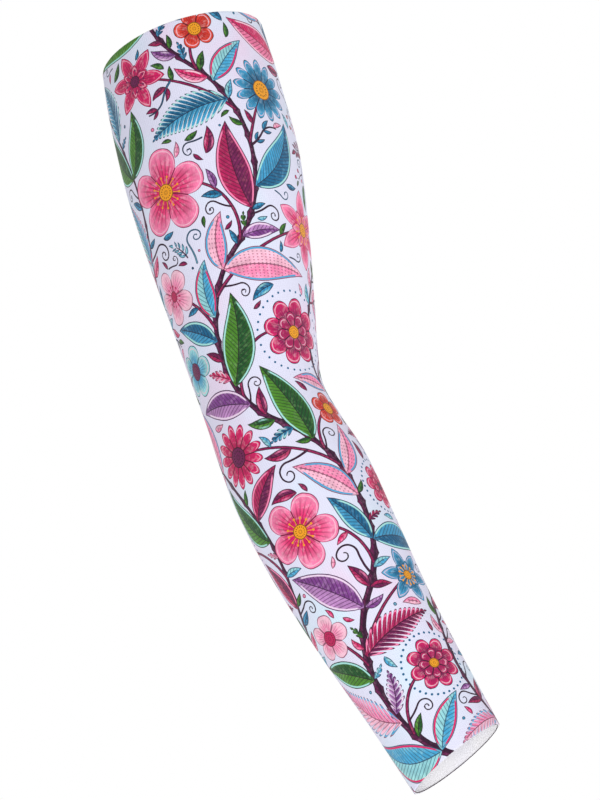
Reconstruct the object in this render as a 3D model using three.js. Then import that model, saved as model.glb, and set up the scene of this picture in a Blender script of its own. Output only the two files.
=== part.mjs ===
// A cycling arm sleeve, worn form: one knitted tube from the upper arm to the wrist, bent at the elbow.
// Millimetres. The origin is the middle of the upper opening, +Z runs up the upper arm, the forearm bends
// towards +X, the sleeve is symmetric about the XZ plane, and its sewn seam runs down the back at +Y.
import * as THREE from "three";

// Cloth and sewing sizes.
const WALL = 1.2;
const GAP = 0.3;
const SEAM_WIDTH = 5.0;
const SEAM_THICKNESS = 0.5;
const EDGE_HEIGHT = 1.0;
const EDGE_THICKNESS = 0.5;
const EDGE_INSET = 0.4;

// How finely the curved walls are divided.
const SIDES = 48;
const STEPS_PER_SECTION = 3;

// One row for each section across the arm, from the upper rim down to the wrist: the section's middle (x, z),
// its lean in degrees, half its width across the bend (across) and half its depth from front to back (deep).
const SECTIONS = [
  { at: "upper rim", x: 0.0, z: 0, lean: 6.5, across: 46.8, deep: 49.2 },
  { at: "upper arm", x: 1.0, z: -30, lean: 2.1, across: 48.7, deep: 51.2 },
  { at: "biceps", x: 2.8, z: -75, lean: 1.4, across: 49.2, deep: 51.6 },
  { at: "below the biceps", x: 3.2, z: -120, lean: 0.4, across: 44.9, deep: 47.8 },
  { at: "lower upper arm", x: 3.4, z: -160, lean: 0.3, across: 39.6, deep: 43.4 },
  { at: "above the elbow", x: 3.5, z: -190, lean: 1.7, across: 35.5, deep: 40.6 },
  { at: "elbow", x: 4.9, z: -212, lean: 7.4, across: 33.8, deep: 39.2 },
  { at: "below the elbow", x: 9.3, z: -235, lean: 12.9, across: 35.9, deep: 38.6 },
  { at: "forearm bulge", x: 16.4, z: -262, lean: 14.4, across: 38.5, deep: 38.2 },
  { at: "middle forearm", x: 26.0, z: -300, lean: 15.3, across: 37.2, deep: 36.0 },
  { at: "lower forearm", x: 39.1, z: -345, lean: 17.5, across: 33.8, deep: 32.0 },
  { at: "above the wrist", x: 54.4, z: -390, lean: 18.8, across: 30.6, deep: 28.6 },
  { at: "wrist rim", x: 66.3, z: -425, lean: 27.1, across: 29.2, deep: 26.9 },
];
const WRIST_ROW = SECTIONS.length - 1;
const BACK = Math.PI / 2;

// A column of the table at any row, whole or between two, on a smooth curve through the rows.
function column(name, row) {
  const first = Math.min(Math.floor(row), WRIST_ROW - 1);
  const share = row - first;
  const at = (index) => {
    if (index < 0) return 2 * SECTIONS[0][name] - SECTIONS[1][name];
    if (index > WRIST_ROW) return 2 * SECTIONS[WRIST_ROW][name] - SECTIONS[WRIST_ROW - 1][name];
    return SECTIONS[index][name];
  };
  const [before, start, end, after] = [at(first - 1), at(first), at(first + 1), at(first + 2)];
  const slope = end - before;
  const curve = 2 * before - 5 * start + 4 * end - after;
  const twist = 3 * start - before - 3 * end + after;
  return start + 0.5 * share * (slope + share * (curve + share * twist));
}

// The point on the arm at a row, an angle from +X towards the back, and a lift off the cloth's outer face.
function armPoint(row, angle, lift) {
  const lean = THREE.MathUtils.degToRad(column("lean", row));
  const sideways = (column("across", row) + lift) * Math.cos(angle);
  return new THREE.Vector3(
    column("x", row) + sideways * Math.cos(lean),
    (column("deep", row) + lift) * Math.sin(angle),
    column("z", row) + sideways * Math.sin(lean),
  );
}

// Rewrites every vertex of a geometry with the arm point that toArm works out from it.
function layOnArm(geometry, toArm) {
  const position = geometry.attributes.position;
  const vertex = new THREE.Vector3();
  for (let index = 0; index < position.count; index += 1) {
    vertex.fromBufferAttribute(position, index);
    const { row, angle, lift } = toArm(vertex);
    position.setXYZ(index, ...armPoint(row, angle, lift));
  }
  geometry.computeVertexNormals();
  return geometry;
}

// A band that runs right round the arm, from one row to another and between two lifts off the outer face.
function roundBand(fromRow, toRow, innerLift, outerLift, steps) {
  const radius = 10;
  const rows = Array.from({ length: steps + 1 }, (_, step) => THREE.MathUtils.lerp(toRow, fromRow, step / steps));
  const outer = rows.map((row) => new THREE.Vector2(radius + outerLift, -row));
  const inner = rows.map((row) => new THREE.Vector2(radius + innerLift, -row)).reverse();
  const lathe = new THREE.LatheGeometry([...outer, ...inner, outer[0]], SIDES);
  return layOnArm(lathe, (vertex) => ({
    row: -vertex.y,
    angle: Math.atan2(vertex.x, vertex.z),
    lift: Math.hypot(vertex.x, vertex.z) - radius,
  }));
}

// The printed knit tube, open at both ends.
function sleeveTube() {
  return roundBand(0, WRIST_ROW, -WALL, 0, WRIST_ROW * STEPS_PER_SECTION);
}

// The long flat seam that closes the tube, a thin band down the back from rim to rim.
function backSeam() {
  const steps = WRIST_ROW * STEPS_PER_SECTION;
  const band = new THREE.BoxGeometry(SEAM_WIDTH, WRIST_ROW, SEAM_THICKNESS, 2, steps, 1);
  return layOnArm(band, (vertex) => {
    const row = WRIST_ROW / 2 - vertex.y;
    return {
      row,
      angle: BACK + vertex.x / column("across", row),
      lift: GAP + SEAM_THICKNESS / 2 + vertex.z,
    };
  });
}

// The narrow dark edging inside the wrist rim.
function wristEdge() {
  const last = SECTIONS[WRIST_ROW];
  const previous = SECTIONS[WRIST_ROW - 1];
  const lastSpan = Math.hypot(last.x - previous.x, last.z - previous.z);
  const toRow = WRIST_ROW - EDGE_INSET / lastSpan;
  const outerLift = -WALL - GAP;
  return roundBand(toRow - EDGE_HEIGHT / lastSpan, toRow, outerLift - EDGE_THICKNESS, outerLift, 1);
}

// A named piece of cloth or thread in its own matt material.
function piece(name, geometry, colour, roughness) {
  const material = new THREE.MeshStandardMaterial({ color: colour, roughness, metalness: 0 });
  const mesh = new THREE.Mesh(geometry, material);
  mesh.name = name;
  return mesh;
}

const sleeve = new THREE.Group();
sleeve.add(
  piece("sleeve_tube", sleeveTube(), "#d9d3ea", 0.8),
  piece("back_seam", backSeam(), "#e4e0f0", 0.85),
  piece("wrist_edge", wristEdge(), "#4b4244", 0.9),
);

export default sleeve;
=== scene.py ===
"""Dresses a worn cycling arm sleeve: a printed stretch-knit tube, its flat back seam and its wrist edging.

Every piece is laid on one arm form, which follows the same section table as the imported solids. Lengths are
in millimetres and angles in degrees where nothing else is said, and meshes are in metres. The print is a
scrolling vine with blooms, leaves and curls: each face of the cloth stores where it lies on the motif above
it, and the cloth's finish draws the motif from that.
"""

from __future__ import annotations

import logging
import math
from collections.abc import Iterator
from dataclasses import astuple, dataclass, field
from enum import Enum
from functools import cached_property
from typing import NamedTuple, TypeVar

import bmesh
import bpy
import numpy as np
from mathutils import Matrix, Vector

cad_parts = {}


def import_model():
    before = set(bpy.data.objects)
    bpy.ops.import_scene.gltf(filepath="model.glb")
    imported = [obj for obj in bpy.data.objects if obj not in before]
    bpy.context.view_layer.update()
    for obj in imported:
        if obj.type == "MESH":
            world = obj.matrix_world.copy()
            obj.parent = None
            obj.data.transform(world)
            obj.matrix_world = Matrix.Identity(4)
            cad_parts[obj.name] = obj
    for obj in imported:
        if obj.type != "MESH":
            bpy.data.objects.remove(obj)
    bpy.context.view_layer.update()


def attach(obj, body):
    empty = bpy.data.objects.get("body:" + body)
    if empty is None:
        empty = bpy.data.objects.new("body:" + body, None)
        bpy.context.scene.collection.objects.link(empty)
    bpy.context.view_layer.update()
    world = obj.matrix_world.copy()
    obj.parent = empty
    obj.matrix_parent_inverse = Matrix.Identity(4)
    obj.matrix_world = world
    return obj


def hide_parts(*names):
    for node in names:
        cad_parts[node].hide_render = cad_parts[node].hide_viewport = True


LOG = logging.getLogger("arm_sleeve")
MM = 0.001
FULL_TURN = 2.0 * math.pi
Choice = TypeVar("Choice")
Numbers = tuple[float, ...]
Span = tuple[float, float]


def pick(choices: tuple[Choice, ...], number: int) -> Choice:
    """Takes one of some choices in turn, over and over."""
    return choices[number % len(choices)]


@dataclass(frozen=True)
class Section:
    """One section across the arm: its middle, its lean in degrees, and its half width and half depth."""

    x: float
    z: float
    lean: float
    across: float
    deep: float


ARM_SECTIONS = (
    Section(x=0.0, z=0, lean=6.5, across=46.8, deep=49.2),
    Section(x=1.0, z=-30, lean=2.1, across=48.7, deep=51.2),
    Section(x=2.8, z=-75, lean=1.4, across=49.2, deep=51.6),
    Section(x=3.2, z=-120, lean=0.4, across=44.9, deep=47.8),
    Section(x=3.4, z=-160, lean=0.3, across=39.6, deep=43.4),
    Section(x=3.5, z=-190, lean=1.7, across=35.5, deep=40.6),
    Section(x=4.9, z=-212, lean=7.4, across=33.8, deep=39.2),
    Section(x=9.3, z=-235, lean=12.9, across=35.9, deep=38.6),
    Section(x=16.4, z=-262, lean=14.4, across=38.5, deep=38.2),
    Section(x=26.0, z=-300, lean=15.3, across=37.2, deep=36.0),
    Section(x=39.1, z=-345, lean=17.5, across=33.8, deep=32.0),
    Section(x=54.4, z=-390, lean=18.8, across=30.6, deep=28.6),
    Section(x=66.3, z=-425, lean=27.1, across=29.2, deep=26.9),
)


class Arm:
    """The worn form: a smooth curve through the sections, measured along its middle from the upper rim."""

    SAMPLES = 2000
    NUDGE = 0.2
    USUAL_RADIUS = 40.0

    def __init__(self, sections: tuple[Section, ...]) -> None:
        """Measures the arm.

        Args:
            sections: The table, from the upper rim down to the wrist.
        """
        columns = np.array([astuple(section) for section in sections], float).T
        self.x, self.z, self.lean, self.across, self.deep = columns
        self.rows = np.linspace(0.0, len(sections) - 1.0, self.SAMPLES)
        x, z = self.between(self.x, self.rows), self.between(self.z, self.rows)
        self.marks = np.concatenate([[0.0], np.cumsum(np.hypot(np.diff(x), np.diff(z)))])
        self.length = float(self.marks[-1])
        across, deep = self.between(self.across, self.rows), self.between(self.deep, self.rows)
        self.girths = FULL_TURN * np.sqrt((across**2 + deep**2) / 2.0)

    def between(self, values: np.ndarray, row: np.ndarray) -> np.ndarray:
        """Reads one column of the table on a smooth curve through its rows.

        Args:
            values: The column.
            row: Row numbers, whole or between two rows.

        Returns:
            The column's values there.
        """
        ends = np.concatenate([[2 * values[0] - values[1]], values, [2 * values[-1] - values[-2]]])
        first = np.clip(np.floor(row).astype(int), 0, len(values) - 2)
        share = row - first
        before, start, end, after = ends[first], ends[first + 1], ends[first + 2], ends[first + 3]
        slope = end - before
        curve = 2 * before - 5 * start + 4 * end - after
        twist = 3 * start - before - 3 * end + after
        return start + 0.5 * share * (slope + share * (curve + share * twist))

    def girth(self, along: np.ndarray | float) -> np.ndarray:
        """Gives the distance round the arm, in millimetres, at a distance from the upper rim."""
        return np.interp(along, self.marks, self.girths)

    def place(self, along: np.ndarray, angle: np.ndarray, lift: np.ndarray) -> np.ndarray:
        """Finds points on the arm.

        Args:
            along: Distance from the upper rim.
            angle: Angle from the front towards +X, in radians.
            lift: Height off the cloth's outer face.

        Returns:
            The points in metres, one row each.
        """
        row = np.interp(along, self.marks, self.rows)
        lean = np.radians(self.between(self.lean, row))
        sideways = (self.between(self.across, row) + lift) * np.sin(angle)
        backwards = -(self.between(self.deep, row) + lift) * np.cos(angle)
        x = self.between(self.x, row) + sideways * np.cos(lean)
        z = self.between(self.z, row) + sideways * np.sin(lean)
        return np.stack([x, backwards, z], axis=-1) * MM

    def frame_at(self, along: float, angle: float, lift: float) -> Matrix:
        """Gives a place on the cloth whose X runs round the arm, Y up it and Z off it.

        Args:
            along: Distance from the upper rim.
            angle: Angle from the front towards +X, in radians.
            lift: Height off the cloth's outer face.

        Returns:
            The place as a matrix, in metres.
        """
        alongs = np.array([along, along, along + self.NUDGE])
        angles = np.array([angle, angle + self.NUDGE / self.USUAL_RADIUS, angle])
        here, beside, below = (Vector(point) for point in self.place(alongs, angles, np.full(3, lift)))
        up = (here - below).normalized()
        out = (beside - here).cross(up).normalized()
        return Matrix.Translation(here) @ Matrix((up.cross(out), up, out)).transposed().to_4x4()


class Ink(Enum):
    """The print's inks and the cloth's plain tones, as display colours."""

    LAVENDER = (231, 231, 252)
    ICE = (219, 241, 255)
    BLUSH = (243, 218, 243)
    INSIDE = (252, 251, 253)
    HOT_PINK = (226, 22, 104)
    ROSE = (196, 28, 92)
    CANDY = (255, 140, 184)
    PALE_PINK = (255, 206, 224)
    PLUM = (112, 26, 82)
    DARK_PLUM = (54, 18, 50)
    TEAL = (14, 98, 140)
    CYAN = (70, 170, 216)
    MINT = (172, 232, 226)
    GREEN = (88, 152, 40)
    DARK_GREEN = (26, 84, 38)
    RED = (206, 38, 34)
    ORANGE = (230, 70, 46)
    VIOLET = (126, 62, 140)
    LILAC = (208, 152, 212)
    AMBER = (246, 164, 34)
    SEAM = (226, 224, 242)
    SEAM_THREAD = (164, 152, 196)
    EDGE = (74, 64, 66)
    FLOOR = (244, 244, 246)

    @property
    def linear(self) -> tuple[float, float, float]:
        """The ink as the linear colour that nodes take."""
        shares = (value / 255.0 for value in self.value)
        return tuple(c / 12.92 if c <= 0.04045 else ((c + 0.055) / 1.055) ** 2.4 for c in shares)


class StrokeInks(NamedTuple):
    """The inks of a stem or leaf: its shaded side, its lit side and the trim inside a wide leaf's edge."""

    dark: Ink
    light: Ink
    trim: Ink


class BloomInks(NamedTuple):
    """The inks of a bloom, from its middle out to its petals' tips."""

    core: Ink
    petal: Ink
    tip: Ink


STEM_TAPER = 0.35
CURL_TAPER = 0.45
LEAF_LEAN = 0.78
PETAL_LEAN = 1.25
PETAL_FULLNESS = 0.8
END_SLOPE = 1.6


class Outline(Enum):
    """How a stroke's width runs from its start to its end."""

    STEM = "stem"
    CURL = "curl"
    LEAF = "leaf"
    PETAL = "petal"

    def half_width(self, share: np.ndarray, width: float, length: float) -> np.ndarray:
        """Gives the stroke's half width, which is negative past its ends.

        Args:
            share: Share of the way along the stroke.
            width: The largest half width.
            length: The stroke's length.

        Returns:
            Half widths in millimetres.
        """
        inside = np.clip(share, 0.0, 1.0)
        if self is Outline.STEM:
            shape = 1.0 - STEM_TAPER * inside
        elif self is Outline.CURL:
            shape = 1.0 - CURL_TAPER * inside
        elif self is Outline.LEAF:
            shape = np.sin(math.pi * inside**LEAF_LEAN)
        else:
            shape = np.sin(math.pi * inside**PETAL_LEAN) ** PETAL_FULLNESS
        return width * shape - END_SLOPE * length * np.abs(share - inside)


class Spot(NamedTuple):
    """A spot on the cloth: its distance from the upper rim, its angle from the front and a heading on it."""

    along: float
    angle: float
    heading: float

    def turned(self, turn: float) -> Spot:
        """Gives the same spot with its heading turned to the left, in degrees."""
        return Spot(self.along, self.angle, self.heading + turn)


STRAIGHT = 1e-5


@dataclass(frozen=True)
class Arc:
    """One stretch of a stroke: its length in millimetres and how far it turns to the left, in degrees."""

    length: float
    turn: float = 0.0

    def sized(self, size: float, side: float) -> Arc:
        """Gives the arc in another size, as it is for a side of 1 and mirrored for -1."""
        return Arc(self.length * size, self.turn * side)


@dataclass(frozen=True)
class Stretch:
    """An arc on the flat cloth: where it starts, its heading there and how much stroke comes before it."""

    x: float
    y: float
    heading: float
    arc: Arc
    before: float

    def point(self, distance: float) -> tuple[float, float, float]:
        """Finds a point on the arc.

        Args:
            distance: Distance from the arc's start.

        Returns:
            The point's x and y in millimetres, and the heading there in radians.
        """
        turned = math.radians(self.arc.turn) * distance / self.arc.length
        chord = distance if abs(turned) < STRAIGHT else 2.0 * distance / turned * math.sin(turned / 2.0)
        middle = self.heading + turned / 2.0
        return self.x + chord * math.cos(middle), self.y + chord * math.sin(middle), self.heading + turned

    def measure(self, x: np.ndarray, y: np.ndarray) -> tuple[np.ndarray, np.ndarray]:
        """Measures points against the arc.

        Args:
            x: The points' x.
            y: The points' y.

        Returns:
            How far along the arc each point lies, and how far to its left.
        """
        ahead_x, ahead_y = math.cos(self.heading), math.sin(self.heading)
        from_x, from_y = x - self.x, y - self.y
        ahead = from_x * ahead_x + from_y * ahead_y
        left = from_y * ahead_x - from_x * ahead_y
        bend = math.radians(self.arc.turn) / self.arc.length
        if abs(bend) < STRAIGHT:
            return ahead, left
        radius = 1.0 / bend
        side = math.copysign(1.0, radius)
        run = radius * np.arctan2(side * ahead, side * (radius - left))
        return run, radius - side * np.hypot(ahead, radius - left)


@dataclass(frozen=True)
class Box:
    """A box on the flat cloth, in millimetres from a spot: its left, right, lower and upper sides."""

    left: float
    right: float
    low: float
    high: float


@dataclass(frozen=True)
class Stroke:
    """A stem, leaf, petal or curl: a line of arcs on the flat cloth, with a width, teeth, veins and inks.

    A depth above 0 cuts the teeth into the edge, and one below 0 makes thorns of them. Veins above 0 are
    slanting lines, and veins below 0 are rows of dots.
    """

    BOX_SHARES = np.linspace(0.0, 1.0, 9)

    start: Spot
    arcs: tuple[Arc, ...]
    width: float
    outline: Outline
    inks: StrokeInks
    teeth: float = 0.0
    depth: float = 0.0
    veins: float = 0.0

    @property
    def length(self) -> float:
        """The stroke's length, in millimetres."""
        return sum(arc.length for arc in self.arcs)

    @cached_property
    def stretches(self) -> list[Stretch]:
        """Puts each arc in its place, measured from the stroke's start.

        Returns:
            The arcs in their places.
        """
        placed = []
        x, y, heading, before = 0.0, 0.0, math.radians(self.start.heading), 0.0
        for arc in self.arcs:
            stretch = Stretch(x, y, heading, arc, before)
            placed.append(stretch)
            x, y, heading = stretch.point(arc.length)
            before += arc.length
        return placed

    def box(self, room: float) -> Box:
        """Gives the flat box that holds the stroke with some room all round, in millimetres."""
        across, up, _ = zip(*(self.point(self.length * share) for share in self.BOX_SHARES))
        return Box(min(across) - room, max(across) + room, min(up) - room, max(up) + room)

    def point(self, distance: float) -> tuple[float, float, float]:
        """Finds the x, y and heading at a distance along the stroke, from its start."""
        begun = [stretch for stretch in self.stretches if stretch.before <= max(distance, 0.0)]
        return begun[-1].point(distance - begun[-1].before)


HALO_RING = 1.17
HALO_INK = 1.2
HALO_ROOM = 1.3
LOBE_POWER = 2.5


@dataclass(frozen=True)
class BloomCut:
    """A bloom's drawing: petals, how deep and pointed their gaps are, its inner row, core and dotted halo."""

    petals: int
    depth: float
    point: float
    inner: float
    core: float
    halo: float

    @property
    def spread(self) -> float:
        """How far the bloom claims cloth, as a share of its radius."""
        return HALO_ROOM if self.halo else 1.0

    def reach(self, turn: np.ndarray) -> np.ndarray:
        """Gives how far the bloom's ink reaches at a turn round it, as a share of its radius.

        Args:
            turn: The turn, in whole turns.

        Returns:
            The reach of the petals, or of the halo where there is one.
        """
        if self.halo:
            return np.full_like(turn, HALO_INK)
        lobe = np.abs(np.remainder(turn * self.petals, 1.0) * 2.0 - 1.0)
        rounded = lobe**LOBE_POWER
        return 1.0 - self.depth * (rounded + (lobe - rounded) * self.point)


class BloomKind(Enum):
    """The blooms of the print."""

    BLOSSOM = BloomCut(petals=5, depth=0.42, point=0.0, inner=0.0, core=0.20, halo=0.0)
    DOUBLE = BloomCut(petals=8, depth=0.30, point=0.15, inner=0.60, core=0.20, halo=1.0)
    DAISY = BloomCut(petals=13, depth=0.36, point=0.25, inner=0.0, core=0.32, halo=0.0)
    STAR = BloomCut(petals=6, depth=0.62, point=0.75, inner=0.52, core=0.18, halo=0.0)
    FLORET = BloomCut(petals=5, depth=0.36, point=0.0, inner=0.0, core=0.34, halo=0.0)
    BERRY = BloomCut(petals=1, depth=0.0, point=0.0, inner=0.0, core=0.0, halo=0.0)


@dataclass(frozen=True)
class Bloom:
    """A bloom on the cloth: its kind, its middle with its turn as the heading, its radius and its inks."""

    kind: BloomKind
    middle: Spot
    radius: float
    inks: BloomInks


class Layer(Enum):
    """The print's layers, from the lowest to the topmost."""

    VINE = "vine"
    BRANCH = "branch"
    SHOOT = "shoot"
    LEAF = "leaf"
    FROND = "frond"
    BLOOM = "bloom"


STEM_LAYERS = (Layer.VINE, Layer.BRANCH, Layer.SHOOT)
STROKE_LAYERS = (*STEM_LAYERS, Layer.LEAF, Layer.FROND)


@dataclass(frozen=True)
class Cover:
    """The faces that carry a stroke, which of them it inks, and where on it their corners lie."""

    faces: np.ndarray
    inked: np.ndarray
    share: np.ndarray
    left: np.ndarray
    width: np.ndarray


class PrintChart:
    """The cloth laid flat: which motif each face carries in each layer, and where on the motif it lies.

    MARGIN is how far past its edge a motif claims faces, SPACE how much bare cloth it keeps, SLACK how far
    past its ends faces are looked for, TOUCH how much of a stroke may lie on what it grows from, and OVERRUN
    how far past a rim it may end, all in millimetres. A coarse grid marks inked cloth for a quick first look.
    """

    MARGIN = 0.6
    SPACE = 0.45
    SLACK = 2.5
    TOUCH = 2.5
    OVERRUN = 4.0
    RIM_SHARE = 0.4
    THORN_SHARE = 0.5
    BUSY_STEP = 2.0
    BUSY_COLUMNS = 144
    LOOK_SHARES = (0.97, 0.7, 0.45)
    LOOK_PAST_ROOT = 2.0
    NO_STROKE = (0.0, 0.0, -9.0)
    NO_BLOOM = (9.0, 9.0, 1.0)
    NOWHERE = -9.0
    FAR_OFF = 99.0

    def __init__(self, arm: Arm, along: np.ndarray, angle: np.ndarray) -> None:
        """Starts with bare cloth.

        Args:
            arm: The arm that the cloth is on.
            along: Distance of each face's corners from the upper rim.
            angle: Angle of each face's corners from the front, in radians.
        """
        self.arm = arm
        self.along = along
        self.angle = angle
        self.scale = arm.girth(along) / FULL_TURN
        self.middle_along = along.mean(axis=1)
        self.middle_angle = angle.mean(axis=1)
        self.order = np.argsort(self.middle_along, kind="stable")
        self.ordered_along = self.middle_along[self.order]
        faces = len(along)
        self.busy = np.zeros((int(arm.length / self.BUSY_STEP) + 3, self.BUSY_COLUMNS), bool)
        self.busy_row, self.busy_column = self.busy_spot(self.middle_along, np.degrees(self.middle_angle))
        self.taken = {layer: np.zeros(faces, bool) for layer in Layer}
        self.inked = {layer: np.zeros(faces, bool) for layer in Layer}
        self.corners: dict[str, np.ndarray] = {}
        self.faces: dict[str, np.ndarray] = {}
        for layer in STROKE_LAYERS:
            self.corners[f"{layer.value}_run"] = np.tile(np.array(self.NO_STROKE), (faces, 4, 1))
            for part in ("cut", *StrokeInks._fields):
                self.faces[f"{layer.value}_{part}"] = np.zeros((faces, 3))
        self.corners["bloom_spot"] = np.tile(np.array(self.NO_BLOOM), (faces, 4, 1))
        for part in ("cut", "rows", *BloomInks._fields):
            self.faces[f"bloom_{part}"] = np.ones((faces, 3))

    def beside(self, spot: Spot, right: float, up: float = 0.0) -> Spot:
        """Finds the spot that lies some way to the right of another and above it, with the same heading."""
        along = spot.along - up
        return Spot(along, spot.angle + 360.0 * right / float(self.arm.girth(along)), spot.heading)

    def ahead(self, spot: Spot, distance: float) -> Spot:
        """Finds the spot that lies some way straight ahead of another, with the same heading."""
        heading = math.radians(spot.heading)
        return self.beside(spot, distance * math.cos(heading), distance * math.sin(heading))

    def spot_on(self, stroke: Stroke, distance: float) -> Spot:
        """Finds the spot on a stroke at a distance from its start, with the stroke's heading there."""
        right, up, heading = stroke.point(distance)
        return self.beside(stroke.start, right, up)._replace(heading=math.degrees(heading))

    def busy_spot(self, along: np.ndarray, angle: np.ndarray) -> tuple[np.ndarray, np.ndarray]:
        """Gives the row and column of the coarse grid that marks where anything is printed.

        Args:
            along: Distance from the upper rim.
            angle: Angle from the front.

        Returns:
            The row and the column.
        """
        row = np.clip(np.floor(np.asarray(along) / self.BUSY_STEP).astype(int) + 1, 0, self.busy.shape[0] - 1)
        column = np.floor(np.remainder(angle, 360.0) * (self.BUSY_COLUMNS / 360.0)).astype(int)
        return row, column % self.BUSY_COLUMNS

    def mark(self, layer: Layer, faces: np.ndarray, inked: np.ndarray) -> None:
        """Marks faces as carrying a motif.

        Args:
            layer: The motif's layer.
            faces: The faces.
            inked: Which of them the motif inks.
        """
        self.taken[layer][faces] = True
        self.inked[layer][faces[inked]] = True
        self.busy[self.busy_row[faces[inked]], self.busy_column[faces[inked]]] = True

    def is_crowded(self, stroke: Stroke, root: float, tip: float) -> bool:
        """Looks quickly for ink at a few spots on a stroke.

        Args:
            stroke: The stroke.
            root: How much of it to skip at its start.
            tip: How much of it to skip at its end.

        Returns:
            Whether there is any.
        """
        for share in self.LOOK_SHARES:
            distance = share * stroke.length
            if root + self.LOOK_PAST_ROOT < distance < stroke.length - tip:
                along, angle, _ = self.spot_on(stroke, distance)
                if self.busy[self.busy_spot(along, angle)]:
                    return True
        return False

    def unroll(self, spot: Spot, box: Box) -> tuple[np.ndarray, np.ndarray, np.ndarray]:
        """Lays the cloth near a spot flat.

        Args:
            spot: The spot.
            box: Which cloth round the spot to look at.

        Returns:
            The faces there, and their corners' places to the right of the spot and above it.
        """
        levels = (spot.along - box.high, spot.along - box.low)
        first, last = np.searchsorted(self.ordered_along, levels)
        level = self.order[first:last]
        turn = self.middle_angle[level] - math.radians(spot.angle)
        turn = np.remainder(turn + math.pi, FULL_TURN) - math.pi
        across = turn * self.scale[level, 0]
        near = (across > box.left) & (across < box.right)
        found = level[near]
        corner_turn = turn[near, None] + self.angle[found] - self.middle_angle[found, None]
        return found, corner_turn * self.scale[found], spot.along - self.along[found]

    def is_free(self, middle: Spot, radius: float) -> bool:
        """Says whether a round patch of cloth, most of it between the rims, is still bare.

        Args:
            middle: The patch's middle.
            radius: The patch's radius.

        Returns:
            Whether it is bare.
        """
        to_rim = self.RIM_SHARE * radius
        between_rims = to_rim < middle.along < self.arm.length - to_rim
        if not between_rims or self.busy[self.busy_spot(middle.along, middle.angle)]:
            return False
        found, right, up = self.unroll(middle, Box(-radius, radius, -radius, radius))
        patch = found[np.hypot(right, up).min(axis=1) < radius]
        return not any(inked[patch].any() for inked in self.inked.values())

    def measure(self, stroke: Stroke, right: np.ndarray, up: np.ndarray) -> tuple[np.ndarray, np.ndarray]:
        """Measures faces against a stroke, each by the one arc that its middle lies beside.

        Args:
            stroke: The stroke.
            right: The corners' places to the right of the stroke's start.
            up: The corners' places above it.

        Returns:
            Each corner's share of the way along the stroke, and its place to the left of the line.
        """
        best = np.full(len(right), np.inf)
        share = np.full(right.shape, self.NOWHERE)
        left = np.full(right.shape, self.FAR_OFF)
        for stretch in stroke.stretches:
            run, off = stretch.measure(right.mean(axis=1), up.mean(axis=1))
            first = -self.SLACK if stretch is stroke.stretches[0] else 0.0
            last = stretch.arc.length + (self.SLACK if stretch is stroke.stretches[-1] else 0.0)
            nearer = (run >= first) & (run <= last) & (np.abs(off) < best)
            best[nearer] = np.abs(off[nearer])
            corner_run, corner_off = stretch.measure(right[nearer], up[nearer])
            share[nearer] = (stretch.before + corner_run) / stroke.length
            left[nearer] = corner_off
        return share, left

    def cover(self, stroke: Stroke) -> Cover:
        """Finds the faces that a stroke covers.

        Args:
            stroke: The stroke.

        Returns:
            The faces, and where on the stroke their corners lie.
        """
        thorn = stroke.width * max(0.0, -stroke.depth)
        room = stroke.width + thorn + self.SLACK
        found, right, up = self.unroll(stroke.start, stroke.box(room))
        share, left = self.measure(stroke, right, up)
        width = stroke.outline.half_width(share, stroke.width, stroke.length)
        held = (np.abs(left) < width + thorn + self.MARGIN).any(axis=1)
        found, share, left, width = found[held], share[held], left[held], width[held]
        inked = np.abs(left.mean(axis=1)) < width.mean(axis=1) + self.THORN_SHARE * thorn + self.SPACE
        return Cover(found, inked, share, left, width)

    def fits(self, layer: Layer, stroke: Stroke, root: float, tip: float = 0.0) -> bool:
        """Says whether the cloth is free for a stroke that grows from a stem.

        Args:
            layer: The layer to print it in.
            stroke: The stroke.
            root: How much of it, from its start, may lie over stems.
            tip: How much of it, at its end, may lie over anything.

        Returns:
            Whether it is free.
        """
        end = self.spot_on(stroke, stroke.length).along
        inside = -self.OVERRUN < end < self.arm.length + self.OVERRUN
        if not inside or self.is_crowded(stroke, root, tip):
            return False
        cover = self.cover(stroke)
        run = cover.share.mean(axis=1) * stroke.length
        before_tip = run < stroke.length - tip if tip else np.ones(len(run), bool)
        past_root = before_tip & (run > root)
        past_start = before_tip & (run > min(root, self.TOUCH))
        for other in Layer:
            clear = past_root if other in STEM_LAYERS else past_start
            if self.inked[other][cover.faces[clear & cover.inked]].any():
                return False
            if other is layer and self.taken[other][cover.faces[clear]].any():
                return False
        return True

    def lay_stroke(self, layer: Layer, stroke: Stroke) -> None:
        """Prints a stroke.

        Args:
            layer: The layer to print in.
            stroke: The stroke.
        """
        cover = self.cover(stroke)
        name = layer.value
        self.mark(layer, cover.faces, cover.inked)
        self.corners[f"{name}_run"][cover.faces] = np.stack([cover.share, cover.left, cover.width], axis=-1)
        self.faces[f"{name}_cut"][cover.faces] = (stroke.teeth, stroke.depth, stroke.veins)
        for part, ink in stroke.inks._asdict().items():
            self.faces[f"{name}_{part}"][cover.faces] = ink.linear

    def grow_first(self, layer: Layer, strokes: Iterator[Stroke], root: float = 0.0,
                   root_share: float = 0.0) -> bool:
        """Prints the first stroke that the cloth is free for.

        Args:
            layer: The layer to print it in.
            strokes: The strokes to try.
            root: How much of one, from its start, may lie over stems.
            root_share: What share of its length may do so besides.

        Returns:
            Whether one was printed.
        """
        for stroke in strokes:
            if self.fits(layer, stroke, root + root_share * stroke.length):
                self.lay_stroke(layer, stroke)
                return True
        return False

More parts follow.
